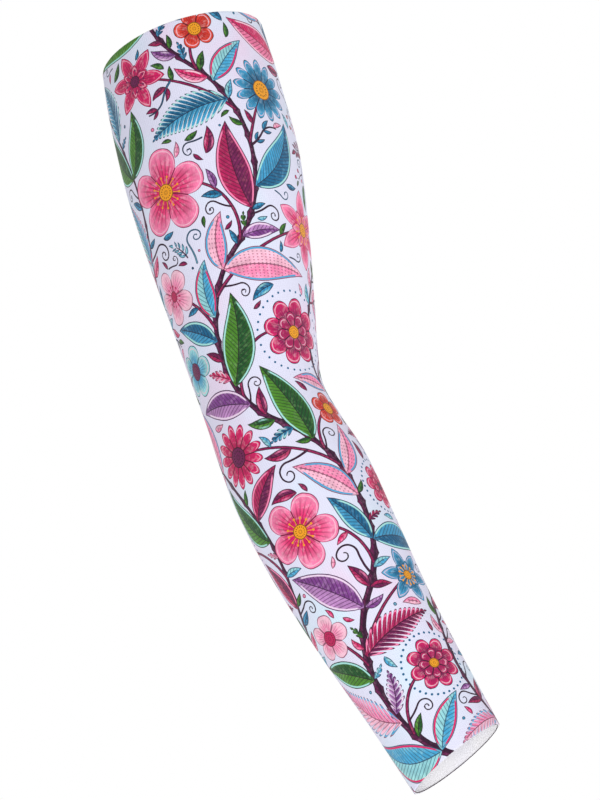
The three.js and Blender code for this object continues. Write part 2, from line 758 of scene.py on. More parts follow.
    def lay_bloom(self, bloom: Bloom, clear_of: tuple[Layer, ...] = ()) -> bool:
        """Prints a bloom, if the cloth is free there.

        Args:
            bloom: The bloom.
            clear_of: The layers that the bloom must not cross.

        Returns:
            Whether the bloom was printed.
        """
        cut = bloom.kind.value
        spread = cut.spread * bloom.radius + self.MARGIN
        room = spread + self.SLACK
        found, right, up = self.unroll(bloom.middle, Box(-room, room, -room, room))
        held = np.hypot(right, up).min(axis=1) < spread
        chosen, right, up = found[held], right[held], up[held]
        turn = math.radians(bloom.middle.heading)
        turned_right = (right * math.cos(turn) + up * math.sin(turn)) / bloom.radius
        turned_up = (up * math.cos(turn) - right * math.sin(turn)) / bloom.radius
        middle_right, middle_up = turned_right.mean(axis=1), turned_up.mean(axis=1)
        reach = cut.reach(np.arctan2(middle_up, middle_right) / FULL_TURN + 0.5)
        inked = np.hypot(middle_right, middle_up) < reach + self.SPACE / bloom.radius
        if len(chosen) == 0 or self.taken[Layer.BLOOM][chosen].any():
            return False
        if any(self.inked[other][chosen[inked]].any() for other in clear_of):
            return False
        spots = np.stack([turned_right, turned_up, np.full_like(up, bloom.radius)], axis=-1)
        self.mark(Layer.BLOOM, chosen, inked)
        self.corners["bloom_spot"][chosen] = spots
        self.faces["bloom_cut"][chosen] = (cut.petals, cut.depth, cut.point)
        self.faces["bloom_rows"][chosen] = (cut.inner, cut.core, cut.halo)
        for part, ink in bloom.inks._asdict().items():
            self.faces[f"bloom_{part}"][chosen] = ink.linear
        return True

    def store(self, mesh: bpy.types.Mesh, printed: np.ndarray) -> None:
        """Writes the chart to the cloth's mesh as attributes.

        Args:
            mesh: The cloth, all of four-sided faces.
            printed: The numbers of the faces that the chart covers.
        """
        count = len(mesh.polygons)
        for domain, tables, bare in (("CORNER", self.corners, self.NOWHERE), ("FACE", self.faces, 0.0)):
            for name, values in tables.items():
                every = np.full((count, *values.shape[1:]), bare)
                every[printed] = values
                mesh.attributes.new(name, "FLOAT_VECTOR", domain).data.foreach_set("vector", every.ravel())


PLUMS = StrokeInks(Ink.DARK_PLUM, Ink.PLUM, Ink.ROSE)
ROSES = StrokeInks(Ink.PLUM, Ink.ROSE, Ink.CANDY)
TEALS = StrokeInks(Ink.TEAL, Ink.CYAN, Ink.MINT)
GREENS = StrokeInks(Ink.DARK_GREEN, Ink.GREEN, Ink.MINT)
PINKS = StrokeInks(Ink.HOT_PINK, Ink.CANDY, Ink.PALE_PINK)
PALE_PINKS = StrokeInks(Ink.CANDY, Ink.PALE_PINK, Ink.CYAN)
VIOLETS = StrokeInks(Ink.VIOLET, Ink.LILAC, Ink.BLUSH)
MINTS = StrokeInks(Ink.CYAN, Ink.MINT, Ink.HOT_PINK)
PINK_BLOOM = BloomInks(Ink.AMBER, Ink.HOT_PINK, Ink.CANDY)
ROSE_BLOOM = BloomInks(Ink.PLUM, Ink.ROSE, Ink.HOT_PINK)
PLUM_BLOOM = BloomInks(Ink.AMBER, Ink.PLUM, Ink.HOT_PINK)
CANDY_BLOOM = BloomInks(Ink.ROSE, Ink.CANDY, Ink.PALE_PINK)
TEAL_BLOOM = BloomInks(Ink.AMBER, Ink.TEAL, Ink.CYAN)
SKY_BLOOM = BloomInks(Ink.PLUM, Ink.CYAN, Ink.MINT)
FIRE_BLOOM = BloomInks(Ink.AMBER, Ink.RED, Ink.ORANGE)
VIOLET_BLOOM = BloomInks(Ink.AMBER, Ink.VIOLET, Ink.LILAC)


@dataclass(frozen=True)
class BloomRow:
    """One row of the bloom table: its kind, inks, place down and aside of the vine, radius and turn."""

    kind: BloomKind
    inks: BloomInks
    along: float
    aside: float
    radius: float
    turn: float = 0.0


MAIN_BLOOMS = (
    BloomRow(BloomKind.BLOSSOM, PINK_BLOOM, along=94, aside=-33, radius=25, turn=12),
    BloomRow(BloomKind.DAISY, TEAL_BLOOM, along=46, aside=39, radius=19),
    BloomRow(BloomKind.DOUBLE, PLUM_BLOOM, along=184, aside=27, radius=20, turn=10),
    BloomRow(BloomKind.STAR, ROSE_BLOOM, along=26, aside=-36, radius=20, turn=20),
    BloomRow(BloomKind.BLOSSOM, CANDY_BLOOM, along=148, aside=-46, radius=16, turn=40),
    BloomRow(BloomKind.STAR, PINK_BLOOM, along=124, aside=52, radius=23),
    BloomRow(BloomKind.DAISY, ROSE_BLOOM, along=240, aside=-32, radius=17),
    BloomRow(BloomKind.BLOSSOM, PINK_BLOOM, along=293, aside=-17, radius=21, turn=-20),
    BloomRow(BloomKind.FLORET, FIRE_BLOOM, along=234, aside=34, radius=12, turn=8),
    BloomRow(BloomKind.STAR, TEAL_BLOOM, along=338, aside=27, radius=17, turn=10),
    BloomRow(BloomKind.DOUBLE, PLUM_BLOOM, along=388, aside=12, radius=15, turn=30),
    BloomRow(BloomKind.FLORET, CANDY_BLOOM, along=348, aside=-32, radius=13),
    BloomRow(BloomKind.DAISY, PINK_BLOOM, along=416, aside=-24, radius=11),
    BloomRow(BloomKind.FLORET, FIRE_BLOOM, along=8, aside=6, radius=12, turn=30),
)
SIDE_BLOOMS = (
    BloomRow(BloomKind.DAISY, ROSE_BLOOM, along=78, aside=-20, radius=17),
    BloomRow(BloomKind.BLOSSOM, CANDY_BLOOM, along=30, aside=18, radius=15, turn=25),
    BloomRow(BloomKind.FLORET, SKY_BLOOM, along=190, aside=16, radius=14),
    BloomRow(BloomKind.DOUBLE, ROSE_BLOOM, along=284, aside=-14, radius=14, turn=15),
    BloomRow(BloomKind.FLORET, FIRE_BLOOM, along=152, aside=22, radius=11),
    BloomRow(BloomKind.BLOSSOM, PINK_BLOOM, along=318, aside=16, radius=12, turn=50),
    BloomRow(BloomKind.FLORET, VIOLET_BLOOM, along=372, aside=10, radius=11),
    BloomRow(BloomKind.STAR, FIRE_BLOOM, along=236, aside=-22, radius=13),
)


@dataclass(frozen=True)
class VineRow:
    """A main vine: the angle that it keeps near, in degrees, its half width and its blooms."""

    angle: float
    width: float
    blooms: tuple[BloomRow, ...]


VINES = (
    VineRow(angle=4.0, width=2.0, blooms=MAIN_BLOOMS),
    VineRow(angle=184.0, width=2.0, blooms=MAIN_BLOOMS),
    VineRow(angle=94.0, width=1.4, blooms=SIDE_BLOOMS),
    VineRow(angle=274.0, width=1.4, blooms=SIDE_BLOOMS),
)


@dataclass(frozen=True)
class LeafRow:
    """Leaves up a stem: the lengths to try, the distance between two, and every how many one is a fern."""

    lengths: Numbers
    pitch: float
    fern_step: int


@dataclass(frozen=True)
class CurlRow:
    """Tendrils up a stem: the distance between two tries, and the sizes to try, as factors."""

    pitch: float
    sizes: Numbers


@dataclass(frozen=True)
class Tulip:
    """A closed bloom at a shoot's tip: its length, and its petals' shares of that, their turns and veins."""

    lengths: Numbers = (24.0, 19.0, 15.0)
    inks: tuple[StrokeInks, ...] = (PINKS, PALE_PINKS, TEALS, ROSES)
    root: float = 6.0
    room_length: float = 1.05
    room_width: float = 0.42
    side_width: float = 0.19
    side_spread: float = 36.0
    side_bend: float = 44.0
    vein_pitch: float = 2.4
    front_length: float = 0.9
    front_width: float = 0.23
    dot_pitch: float = 2.0

    def room(self, base: Spot, length: float, inks: StrokeInks) -> Stroke:
        """Draws one petal as large as the whole bloom, to test the cloth with."""
        return Stroke(base, (Arc(self.room_length * length),), self.room_width * length, Outline.PETAL, inks)

    def petals(self, base: Spot, length: float, inks: StrokeInks) -> Iterator[tuple[Layer, Stroke]]:
        """Draws two side petals and one in front.

        Args:
            base: The bloom's base.
            length: Its length.
            inks: Its inks.

        Yields:
            A petal and the layer to print it in.
        """
        width, veins = self.side_width * length, length / self.vein_pitch
        for side, layer in ((1.0, Layer.LEAF), (-1.0, Layer.BRANCH)):
            arcs = (Arc(length, -side * self.side_bend),)
            start = base.turned(side * self.side_spread)
            yield layer, Stroke(start, arcs, width, Outline.PETAL, inks, veins=veins)
        arcs = (Arc(self.front_length * length),)
        dots = -length / self.dot_pitch
        yield Layer.FROND, Stroke(base, arcs, self.front_width * length, Outline.PETAL, inks, veins=dots)


@dataclass(frozen=True)
class Spray:
    """A small loose stem with leaflets or berries on both sides: its sizes and turns at a factor of 1."""

    sizes: Numbers = (1.0, 0.7)
    berry_inks: tuple[BloomInks, ...] = (FIRE_BLOOM, PINK_BLOOM, SKY_BLOOM)
    room: float = 10.0
    arc: Arc = Arc(15.0, 36.0)
    width: float = 0.6
    places: Numbers = (2.5, 6.5, 10.5, 14.0)
    leaf_length: float = 9.0
    leaf_loss: float = 0.2
    leaf_spread: float = 58.0
    leaf_bend: float = 30.0
    tip_length: float = 8.5
    tip_bend: float = 10.0
    stalk: Arc = Arc(5.0)
    stalk_width: float = 0.35
    stalk_spread: float = 52.0
    berry_place: float = 6.0
    berry_radius: float = 1.9


@dataclass(frozen=True)
class Scatter:
    """The loose motifs: how many spots to try for each kind, and their sizes and turns."""

    along_step: float = 0.7548776662
    round_step: float = 0.5698402910
    turn_step: float = 0.6180339887
    spray_tries: int = 1200
    curl_tries: int = 1100
    curl_sizes: Numbers = (1.0, 0.75, 0.55)
    curl_turns: Numbers = (0.0, 180.0)
    curl_inks: tuple[StrokeInks, ...] = (PLUMS, TEALS, MINTS)
    floret_tries: int = 900
    floret_room: float = 6.0
    floret_radius: float = 5.4
    leaf_tries: int = 2400
    leaf_lengths: Numbers = (22.0, 17.0, 13.0, 10.0, 7.5)
    leaf_turns: Numbers = (0.0, 90.0, 45.0, 135.0)
    leaf_bend: float = 46.0
    berry_tries: int = 2600
    berry_room: float = 2.0
    berry_radius: float = 0.9
    berry_growth: float = 0.2
    berry_inks: tuple[BloomInks, ...] = (SKY_BLOOM, CANDY_BLOOM, TEAL_BLOOM, SKY_BLOOM)

    def spots(self, length: float, count: int) -> Iterator[tuple[int, Spot]]:
        """Spreads spots evenly over the cloth, by steps that never fall into a pattern.

        Args:
            length: The cloth's length.
            count: How many spots.

        Yields:
            A spot's number, and the spot with a heading for the motif.
        """
        for number in range(count):
            along = length * math.modf(0.5 + number * self.along_step)[0]
            angle = 360.0 * math.modf(0.5 + number * self.round_step)[0]
            yield number, Spot(along, angle, 360.0 * math.modf(number * self.turn_step)[0])


@dataclass
class VinePrint:
    """The print's layout: scrolling vines, branches to their blooms, and leafy shoots and curls between."""

    chart: PrintChart
    vines: tuple[VineRow, ...] = VINES
    vine_arcs: tuple[Arc, ...] = (Arc(112, -90), Arc(116, 90), Arc(110, -90), Arc(118, 90), Arc(70, -54))
    vine_heading: float = 135.0
    vine_overrun: float = 6.0
    vine_bark: float = 3.2
    vine_marks: int = 400
    thorn_pitch: float = 15.0
    thorn_size: float = 0.7
    branch_width: float = 1.2
    branch_drop: float = 10.0
    branch_reach: float = 1.1
    branch_leave: float = 24.0
    branch_bark: float = 2.6
    branch_root: float = 16.0
    branch_tip: float = 4.0
    wrist_room: float = 4.0
    shoot_width: float = 0.85
    shoot_pitch: float = 8.0
    shoot_leave: float = 48.0
    shoot_fan: float = 9.0
    shoot_arcs: tuple[Arc, ...] = (Arc(0.45, -26.0), Arc(0.55, 74.0))
    shoot_room: Span = (1.6, 0.11)
    shoot_root: Span = (3.0, 0.3)
    shoot_lengths: Numbers = (60.0, 46.0, 34.0, 25.0)
    twig_lengths: Numbers = (30.0, 22.0, 16.0)
    floret_radii: Numbers = (9.0, 7.0, 5.0)
    floret_turn: float = 17.0
    curl_width: float = 0.75
    curl_arcs: tuple[Arc, ...] = (Arc(12, -25), Arc(13, 150), Arc(8, 170), Arc(4, 150))
    curl_leave: float = 56.0
    curl_root: float = 10.0
    wide_curls: CurlRow = CurlRow(pitch=34.0, sizes=(1.5, 1.2, 0.95))
    small_curls: CurlRow = CurlRow(pitch=12.0, sizes=(1.1, 0.8))
    big_leaves: LeafRow = LeafRow((52.0, 46.0, 40.0, 34.0), pitch=13.0, fern_step=3)
    stem_leaves: LeafRow = LeafRow((34.0, 29.0, 25.0, 21.0, 17.0, 13.0, 10.0), pitch=5.5, fern_step=4)
    leaflets: LeafRow = LeafRow((19.0, 15.0, 12.0, 9.0, 7.0), pitch=4.5, fern_step=99)
    leaf_spreads: Numbers = (50.0, 68.0, 34.0)
    leaf_bends: Numbers = (36.0, 52.0)
    leaf_back_bend: float = 24.0
    leaf_root: float = 0.5
    leaf_width: float = 0.19
    vein_pitch: float = 2.6
    dot_pitch: float = 2.4
    fern_width: float = 0.2
    fern_pitch: float = 3.2
    fern_depth: float = 0.82
    tulip: Tulip = Tulip()
    spray: Spray = Spray()
    loose: Scatter = Scatter()
    leaf_inks: tuple[StrokeInks, ...] = (
        TEALS, PALE_PINKS, ROSES, GREENS, MINTS, PINKS, TEALS, ROSES, PALE_PINKS, GREENS, VIOLETS,
    )
    stem_inks: tuple[StrokeInks, ...] = (ROSES, TEALS, PLUMS, GREENS)
    floret_inks: tuple[BloomInks, ...] = (
        CANDY_BLOOM, FIRE_BLOOM, SKY_BLOOM, VIOLET_BLOOM, TEAL_BLOOM, ROSE_BLOOM,
    )
    stems: list[Stroke] = field(default_factory=list)
    shoots: list[Stroke] = field(default_factory=list)
    twigs: list[Stroke] = field(default_factory=list)

    def grow(self) -> None:
        """Prints the whole layout."""
        vines = [self.grow_vine(row) for row in self.vines]
        for row, vine in zip(self.vines, vines):
            self.grow_blooms(row, vine)
        for number, vine in enumerate(vines):
            self.grow_leaves(vine, self.big_leaves, number)
        for number, stem in enumerate(self.stems):
            self.grow_curls(stem, self.wide_curls, number)
        for number, stem in enumerate(self.stems):
            self.shoots += self.grow_shoots(stem, number, Layer.SHOOT, self.shoot_lengths)
        for number, shoot in enumerate(self.shoots):
            self.grow_shoot_tip(shoot, number)
        for number, stem in enumerate(self.stems):
            self.grow_curls(stem, self.small_curls, number)
        for number, shoot in enumerate(self.shoots):
            self.twigs += self.grow_shoots(shoot, number, Layer.BRANCH, self.twig_lengths)
        for number, shoot in enumerate(self.shoots + self.twigs):
            self.grow_leaves(shoot, self.leaflets, number)
        for number, stem in enumerate(self.stems):
            self.grow_leaves(stem, self.stem_leaves, number)
        self.scatter()

    def grow_vine(self, row: VineRow) -> Stroke:
        """Prints one main vine, from the wrist up past the upper rim.

        Args:
            row: The vine's row.

        Returns:
            The vine.
        """
        length = sum(arc.length for arc in self.vine_arcs)
        start = Spot(self.chart.arm.length + self.vine_overrun, row.angle, self.vine_heading)
        vine = Stroke(start, self.vine_arcs, row.width, Outline.STEM, PLUMS,
                      teeth=round(length / self.thorn_pitch), depth=-self.thorn_size,
                      veins=length / self.vine_bark)
        self.chart.lay_stroke(Layer.VINE, vine)
        self.stems.append(vine)
        return vine

    def grow_blooms(self, row: VineRow, vine: Stroke) -> None:
        """Prints a vine's blooms and the branches to them.

        Args:
            row: The vine's row.
            vine: The vine.
        """
        for bloom in row.blooms:
            middle = self.chart.beside(Spot(bloom.along, row.angle, bloom.turn), bloom.aside)
            placed = Bloom(bloom.kind, middle, bloom.radius, bloom.inks)
            if self.chart.lay_bloom(placed, (Layer.BRANCH,)):
                self.grow_branch(vine, placed)

    def grow_branch(self, vine: Stroke, bloom: Bloom) -> None:
        """Prints a branch from the vine up to a bloom, unless something is in its way.

        Args:
            vine: The vine that it grows from.
            bloom: The bloom that it ends under.
        """
        target = bloom.middle
        below = target.along + self.branch_reach * bloom.radius + self.branch_drop
        wanted = min(below, self.chart.arm.length - self.wrist_room)
        marks = np.linspace(0.0, vine.length, self.vine_marks)
        distance = min(marks, key=lambda mark: abs(self.chart.spot_on(vine, mark).along - wanted))
        along, angle, heading = self.chart.spot_on(vine, distance)
        turn = math.remainder(target.angle - angle, 360.0)
        right = turn / 360.0 * float(self.chart.arm.girth(target.along))
        up = along - target.along
        toward = math.degrees(math.atan2(up, right))
        leave = heading + math.copysign(self.branch_leave, math.remainder(toward - heading, 360.0))
        bend = math.remainder(toward - leave, 360.0)
        half = math.radians(bend)
        chord = math.hypot(right, up)
        length = chord if abs(half) < STRAIGHT else chord * half / math.sin(half)
        start = Spot(along, angle, leave)
        branch = Stroke(start, (Arc(length, 2.0 * bend),), self.branch_width, Outline.STEM, ROSES,
                        veins=length / self.branch_bark)
        tip = bloom.kind.value.spread * bloom.radius + self.branch_tip
        if self.chart.fits(Layer.BRANCH, branch, self.branch_root, tip):
            self.chart.lay_stroke(Layer.BRANCH, branch)
            self.stems.append(branch)

    def grow_shoots(self, stem: Stroke, number: int, layer: Layer, lengths: Numbers) -> list[Stroke]:
        """Prints thin side shoots off a stem, where there is room for them and for leaves on them.

        Args:
            stem: The stem.
            number: The stem's number, which varies the inks and bends.
            layer: The layer to print in.
            lengths: The lengths to try.

        Returns:
            The shoots.
        """
        grown = []
        least_room, room_share = self.shoot_room
        least_root, root_share = self.shoot_root
        for step in range(1, int(stem.length / self.shoot_pitch)):
            spot = self.chart.spot_on(stem, step * self.shoot_pitch)
            for side in (1.0, -1.0):
                inks = pick(self.stem_inks, step + number + (side > 0))
                start = spot.turned(side * (self.shoot_leave + self.shoot_fan * (step % 3)))
                wind = side if (step + number) % 3 else -side
                for length in lengths:
                    arcs = tuple(arc.sized(length, wind) for arc in self.shoot_arcs)
                    room = Stroke(start, arcs, room_share * length + least_room, Outline.STEM, inks)
                    if self.chart.fits(layer, room, root_share * length + least_root):
                        shoot = Stroke(start, arcs, self.shoot_width, Outline.STEM, inks)
                        self.chart.lay_stroke(layer, shoot)
                        grown.append(shoot)
                        break
        return grown

    def grow_shoot_tip(self, shoot: Stroke, number: int) -> None:
        """Ends a shoot in a closed bloom or a small floret, if there is room for one.

        Args:
            shoot: The shoot.
            number: The shoot's number, which varies the inks.
        """
        tip = self.chart.spot_on(shoot, shoot.length)
        inks = pick(self.tulip.inks, number)
        for length in self.tulip.lengths:
            room = self.tulip.room(tip, length, inks)
            if number % 4 != 3 and self.chart.fits(Layer.LEAF, room, self.tulip.root):
                for layer, petal in self.tulip.petals(tip, length, inks):
                    self.chart.lay_stroke(layer, petal)
                return
        for radius in self.floret_radii:
            middle = self.chart.ahead(tip, radius)._replace(heading=self.floret_turn * number)
            floret = Bloom(BloomKind.FLORET, middle, radius, pick(self.floret_inks, number))
            if self.chart.lay_bloom(floret, (Layer.VINE, Layer.BRANCH, Layer.LEAF, Layer.FROND)):
                return

    def grow_curls(self, stem: Stroke, row: CurlRow, number: int) -> None:
        """Prints curled tendrils off a stem where there is room.

        Args:
            stem: The stem.
            row: The tendrils to try.
            number: The stem's number, which varies the curls' side.
        """
        for step in range(1, int(stem.length / row.pitch) + 1):
            spot = self.chart.spot_on(stem, (step - 0.4) * row.pitch)
            for side in ((1.0, -1.0) if (step + number) % 2 == 0 else (-1.0, 1.0)):
                start = spot.turned(side * self.curl_leave)
                curls = (self.curl(start, side, size, PLUMS) for size in row.sizes)
                if self.chart.grow_first(Layer.SHOOT, curls, root=self.curl_root):
                    break

    def curl(self, start: Spot, side: float, size: float, inks: StrokeInks) -> Stroke:
        """Draws a tendril that winds up to the left for a side of 1 and to the right for -1."""
        arcs = tuple(arc.sized(size, side) for arc in self.curl_arcs)
        return Stroke(start, arcs, self.curl_width * (0.5 + 0.5 * size), Outline.CURL, inks)

    def grow_leaves(self, stem: Stroke, row: LeafRow, number: int) -> None:
        """Prints leaves up both sides of a stem, each as long as the free cloth allows.

        Args:
            stem: The stem.
            row: The leaves to try.
            number: The stem's number, which varies the leaves' inks and bends.
        """
        small = stem.width <= self.shoot_width
        for step in range(1, int(stem.length / row.pitch) + 1):
            spot = self.chart.spot_on(stem, step * row.pitch)
            inks = pick(self.leaf_inks, number + step // 5 if small else 4 * step + 2 * number)
            fern = (step + number) % row.fern_step == 0
            for side, layer in ((1.0, Layer.LEAF), (-1.0, Layer.FROND)):
                bends = (-side * pick(self.leaf_bends, step), side * self.leaf_back_bend)
                leaves = (self.leaf(spot.turned(side * spread), bend, length, inks, fern)
                          for length in row.lengths for spread in self.leaf_spreads for bend in bends)
                self.chart.grow_first(layer, leaves, root_share=self.leaf_root)

    def leaf(self, start: Spot, bend: float, length: float, inks: StrokeInks, fern: bool = False) -> Stroke:
        """Draws a smooth leaf or a cut fern leaf.

        Args:
            start: Where it starts.
            bend: How far it turns to the left.
            length: Its length.
            inks: Its inks.
            fern: Whether it is a fern leaf.

        Returns:
            The leaf.
        """
        arcs = (Arc(length, bend),)
        if fern:
            teeth = round(length / self.fern_pitch)
            return Stroke(start, arcs, self.fern_width * length, Outline.LEAF, inks, teeth, self.fern_depth,
                          veins=teeth)
        veins = -length / self.dot_pitch if inks is PALE_PINKS else length / self.vein_pitch
        return Stroke(start, arcs, self.leaf_width * length, Outline.LEAF, inks, veins=veins)

    def scatter(self) -> None:
        """Prints loose sprays, curls, florets, leaves and berries over the cloth that is still free."""
        loose, cloth = self.loose, self.chart.arm.length
        for size in self.spray.sizes:
            for number, spot in loose.spots(cloth, loose.spray_tries):
                if self.chart.is_free(spot, self.spray.room * size):
                    self.lay_spray(spot, size, number)
        self.scatter_curls()
        for number, spot in loose.spots(cloth, loose.floret_tries):
            if self.chart.is_free(spot, loose.floret_room):
                kind = pick((BloomKind.FLORET, BloomKind.STAR), number)
                floret = Bloom(kind, spot, loose.floret_radius, pick(self.floret_inks, number))
                self.chart.lay_bloom(floret, tuple(Layer))
        for length in loose.leaf_lengths:
            for number, spot in loose.spots(cloth, loose.leaf_tries):
                inks = pick(self.leaf_inks, number)
                starts = (spot.turned(turn) for turn in loose.leaf_turns)
                leaves = (self.leaf(start, loose.leaf_bend, length, inks) for start in starts)
                self.chart.grow_first(pick((Layer.LEAF, Layer.FROND), number), leaves)
        for number, spot in loose.spots(cloth, loose.berry_tries):
            radius = loose.berry_radius + loose.berry_growth * (number % 3)
            berry = Bloom(BloomKind.BERRY, spot, radius, pick(loose.berry_inks, number))
            if self.chart.is_free(spot, loose.berry_room):
                self.chart.lay_bloom(berry, tuple(Layer))

    def scatter_curls(self) -> None:
        """Prints loose tendrils over the cloth that is still free, large ones first."""
        loose, cloth = self.loose, self.chart.arm.length
        for size in loose.curl_sizes:
            for number, spot in loose.spots(cloth, loose.curl_tries):
                side = pick((1.0, -1.0), number)
                inks = pick(loose.curl_inks, number)
                curls = (self.curl(spot.turned(turn), side, size, inks) for turn in loose.curl_turns)
                self.chart.grow_first(Layer.SHOOT, curls)

    def lay_spray(self, middle: Spot, size: float, number: int) -> None:
        """Prints a small stem with leaflets or berries on both sides.

        Args:
            middle: Its middle and its heading there.
            size: Its size, as a factor.
            number: A number that varies the inks and the kind.
        """
        spray = self.spray
        inks = pick(self.leaf_inks, number)
        start = self.chart.ahead(middle, -spray.room * size).turned(-spray.arc.turn / 2.0)
        stem = Stroke(start, (spray.arc.sized(size, 1.0),), spray.width, Outline.CURL, ROSES)
        self.chart.lay_stroke(Layer.BRANCH, stem)
        tip = self.chart.spot_on(stem, stem.length)
        self.chart.lay_stroke(Layer.LEAF, self.leaf(tip, spray.tip_bend, spray.tip_length * size, inks))
        for place, distance in enumerate(spray.places):
            spot = self.chart.spot_on(stem, distance * size)
            side = pick((1.0, -1.0), place)
            if number % 2 == 0:
                self.lay_berry(spot.turned(side * spray.stalk_spread), size, number)
                continue
            length = (spray.leaf_length - spray.leaf_loss * distance) * size
            for turn, layer in ((side, Layer.LEAF), (-side, Layer.FROND)):
                leaf = self.leaf(spot.turned(turn * spray.leaf_spread), -turn * spray.leaf_bend, length, inks)
                self.chart.lay_stroke(layer, leaf)

    def lay_berry(self, start: Spot, size: float, number: int) -> None:
        """Prints a spray's berry on a short stalk.

        Args:
            start: Where the stalk starts.
            size: The spray's size, as a factor.
            number: The spray's number, which varies the inks.
        """
        spray = self.spray
        stalk = Stroke(start, (spray.stalk.sized(size, 1.0),), spray.stalk_width, Outline.CURL, ROSES)
        self.chart.lay_stroke(Layer.LEAF, stalk)
        end = self.chart.spot_on(stalk, spray.berry_place * size)._replace(heading=0.0)
        inks = pick(spray.berry_inks, number)
        self.chart.lay_bloom(Bloom(BloomKind.BERRY, end, spray.berry_radius * size, inks))


@dataclass(frozen=True)
class Output:
    """What shader nodes work out at each point of a surface: their tree, and the socket that gives it."""

    tree: bpy.types.NodeTree
    socket: bpy.types.NodeSocket


def feed(entry: bpy.types.NodeSocket, value: Output | Ink | float) -> None:
    """Gives a node's input its value.

    Args:
        entry: The input.
        value: What other nodes work out, an ink or a plain number.
    """
    if isinstance(value, Output):
        value.tree.links.new(value.socket, entry)
    else:
        entry.default_value = (*value.linear, 1.0) if isinstance(value, Ink) else value


class Reading(Output):
    """A number that shader nodes work out."""

    def math(self, operation: str, *others: Reading | float) -> Reading:
        """Adds a Math node on this number.

        Args:
            operation: The node's operation.
            others: The other numbers that it takes.

        Returns:
            The result.
        """
        node = self.tree.nodes.new("ShaderNodeMath")
        node.operation = operation
        for entry, value in zip(node.inputs, (self, *others)):
            feed(entry, value)
        return Reading(self.tree, node.outputs[0])

    def __add__(self, other: Reading | float) -> Reading:
        """Adds."""
        return self.math("ADD", other)

    def __sub__(self, other: Reading | float) -> Reading:
        """Subtracts."""
        return self.math("SUBTRACT", other)

    def __rsub__(self, other: float) -> Reading:
        """Subtracts from a plain number."""
        return self.math("MULTIPLY_ADD", -1.0, other)

    def __mul__(self, other: Reading | float) -> Reading:
        """Multiplies."""
        return self.math("MULTIPLY", other)

    def __truediv__(self, other: Reading | float) -> Reading:
        """Divides."""
        return self.math("DIVIDE", other)

    def __abs__(self) -> Reading:
        """Drops the sign."""
        return self.math("ABSOLUTE")

    def fraction(self) -> Reading:
        """Keeps the part after the decimal point."""
        return self.math("FRACT")

    def swing(self) -> Reading:
        """Gives 1 in the middle of each whole step and 0 at its ends."""
        return 1.0 - abs(self.fraction() * 2.0 - 1.0)

    def most(self, other: Reading | float) -> Reading:
        """Takes the larger."""
        return self.math("MAXIMUM", other)

    def rise(self, low: float, high: float) -> Reading:
        """Goes smoothly from 0 at one value to 1 at another.

        Args:
            low: Where it is 0.
            high: Where it is 1.

        Returns:
            The result, from 0 to 1.
        """
        node = self.tree.nodes.new("ShaderNodeMapRange")
        node.interpolation_type = "SMOOTHSTEP"
        feed(node.inputs["Value"], self)
        feed(node.inputs["From Min"], low)
        feed(node.inputs["From Max"], high)
        return Reading(self.tree, node.outputs["Result"])

    def fall(self, low: float, high: float) -> Reading:
        """Goes smoothly from 1 at one value to 0 at another."""
        return 1.0 - self.rise(low, high)


class Tint(Output):
    """A colour that shader nodes work out."""

    MIX_SHARE = 0
    MIX_FROM = 6
    MIX_TO = 7
    MIX_RESULT = 2

    def mix(self, other: Tint | Ink, share: Reading | float) -> Tint:
        """Goes over to another colour.

        Args:
            other: The other colour.
            share: How much of it, from 0 to 1.

        Returns:
            The mixed colour.
        """
        node = self.tree.nodes.new("ShaderNodeMix")
        node.data_type = "RGBA"
        feed(node.inputs[self.MIX_FROM], self)
        feed(node.inputs[self.MIX_TO], other)
        feed(node.inputs[self.MIX_SHARE], share)
        return Tint(self.tree, node.outputs[self.MIX_RESULT])

    def scaled(self, amount: Reading | float) -> Tint:
        """Makes the colour lighter or darker.

        Args:
            amount: The factor.

        Returns:
            The new colour.
        """
        node = self.tree.nodes.new("ShaderNodeVectorMath")
        node.operation = "SCALE"
        feed(node.inputs[0], self)
        feed(node.inputs["Scale"], amount)
        return Tint(self.tree, node.outputs[0])


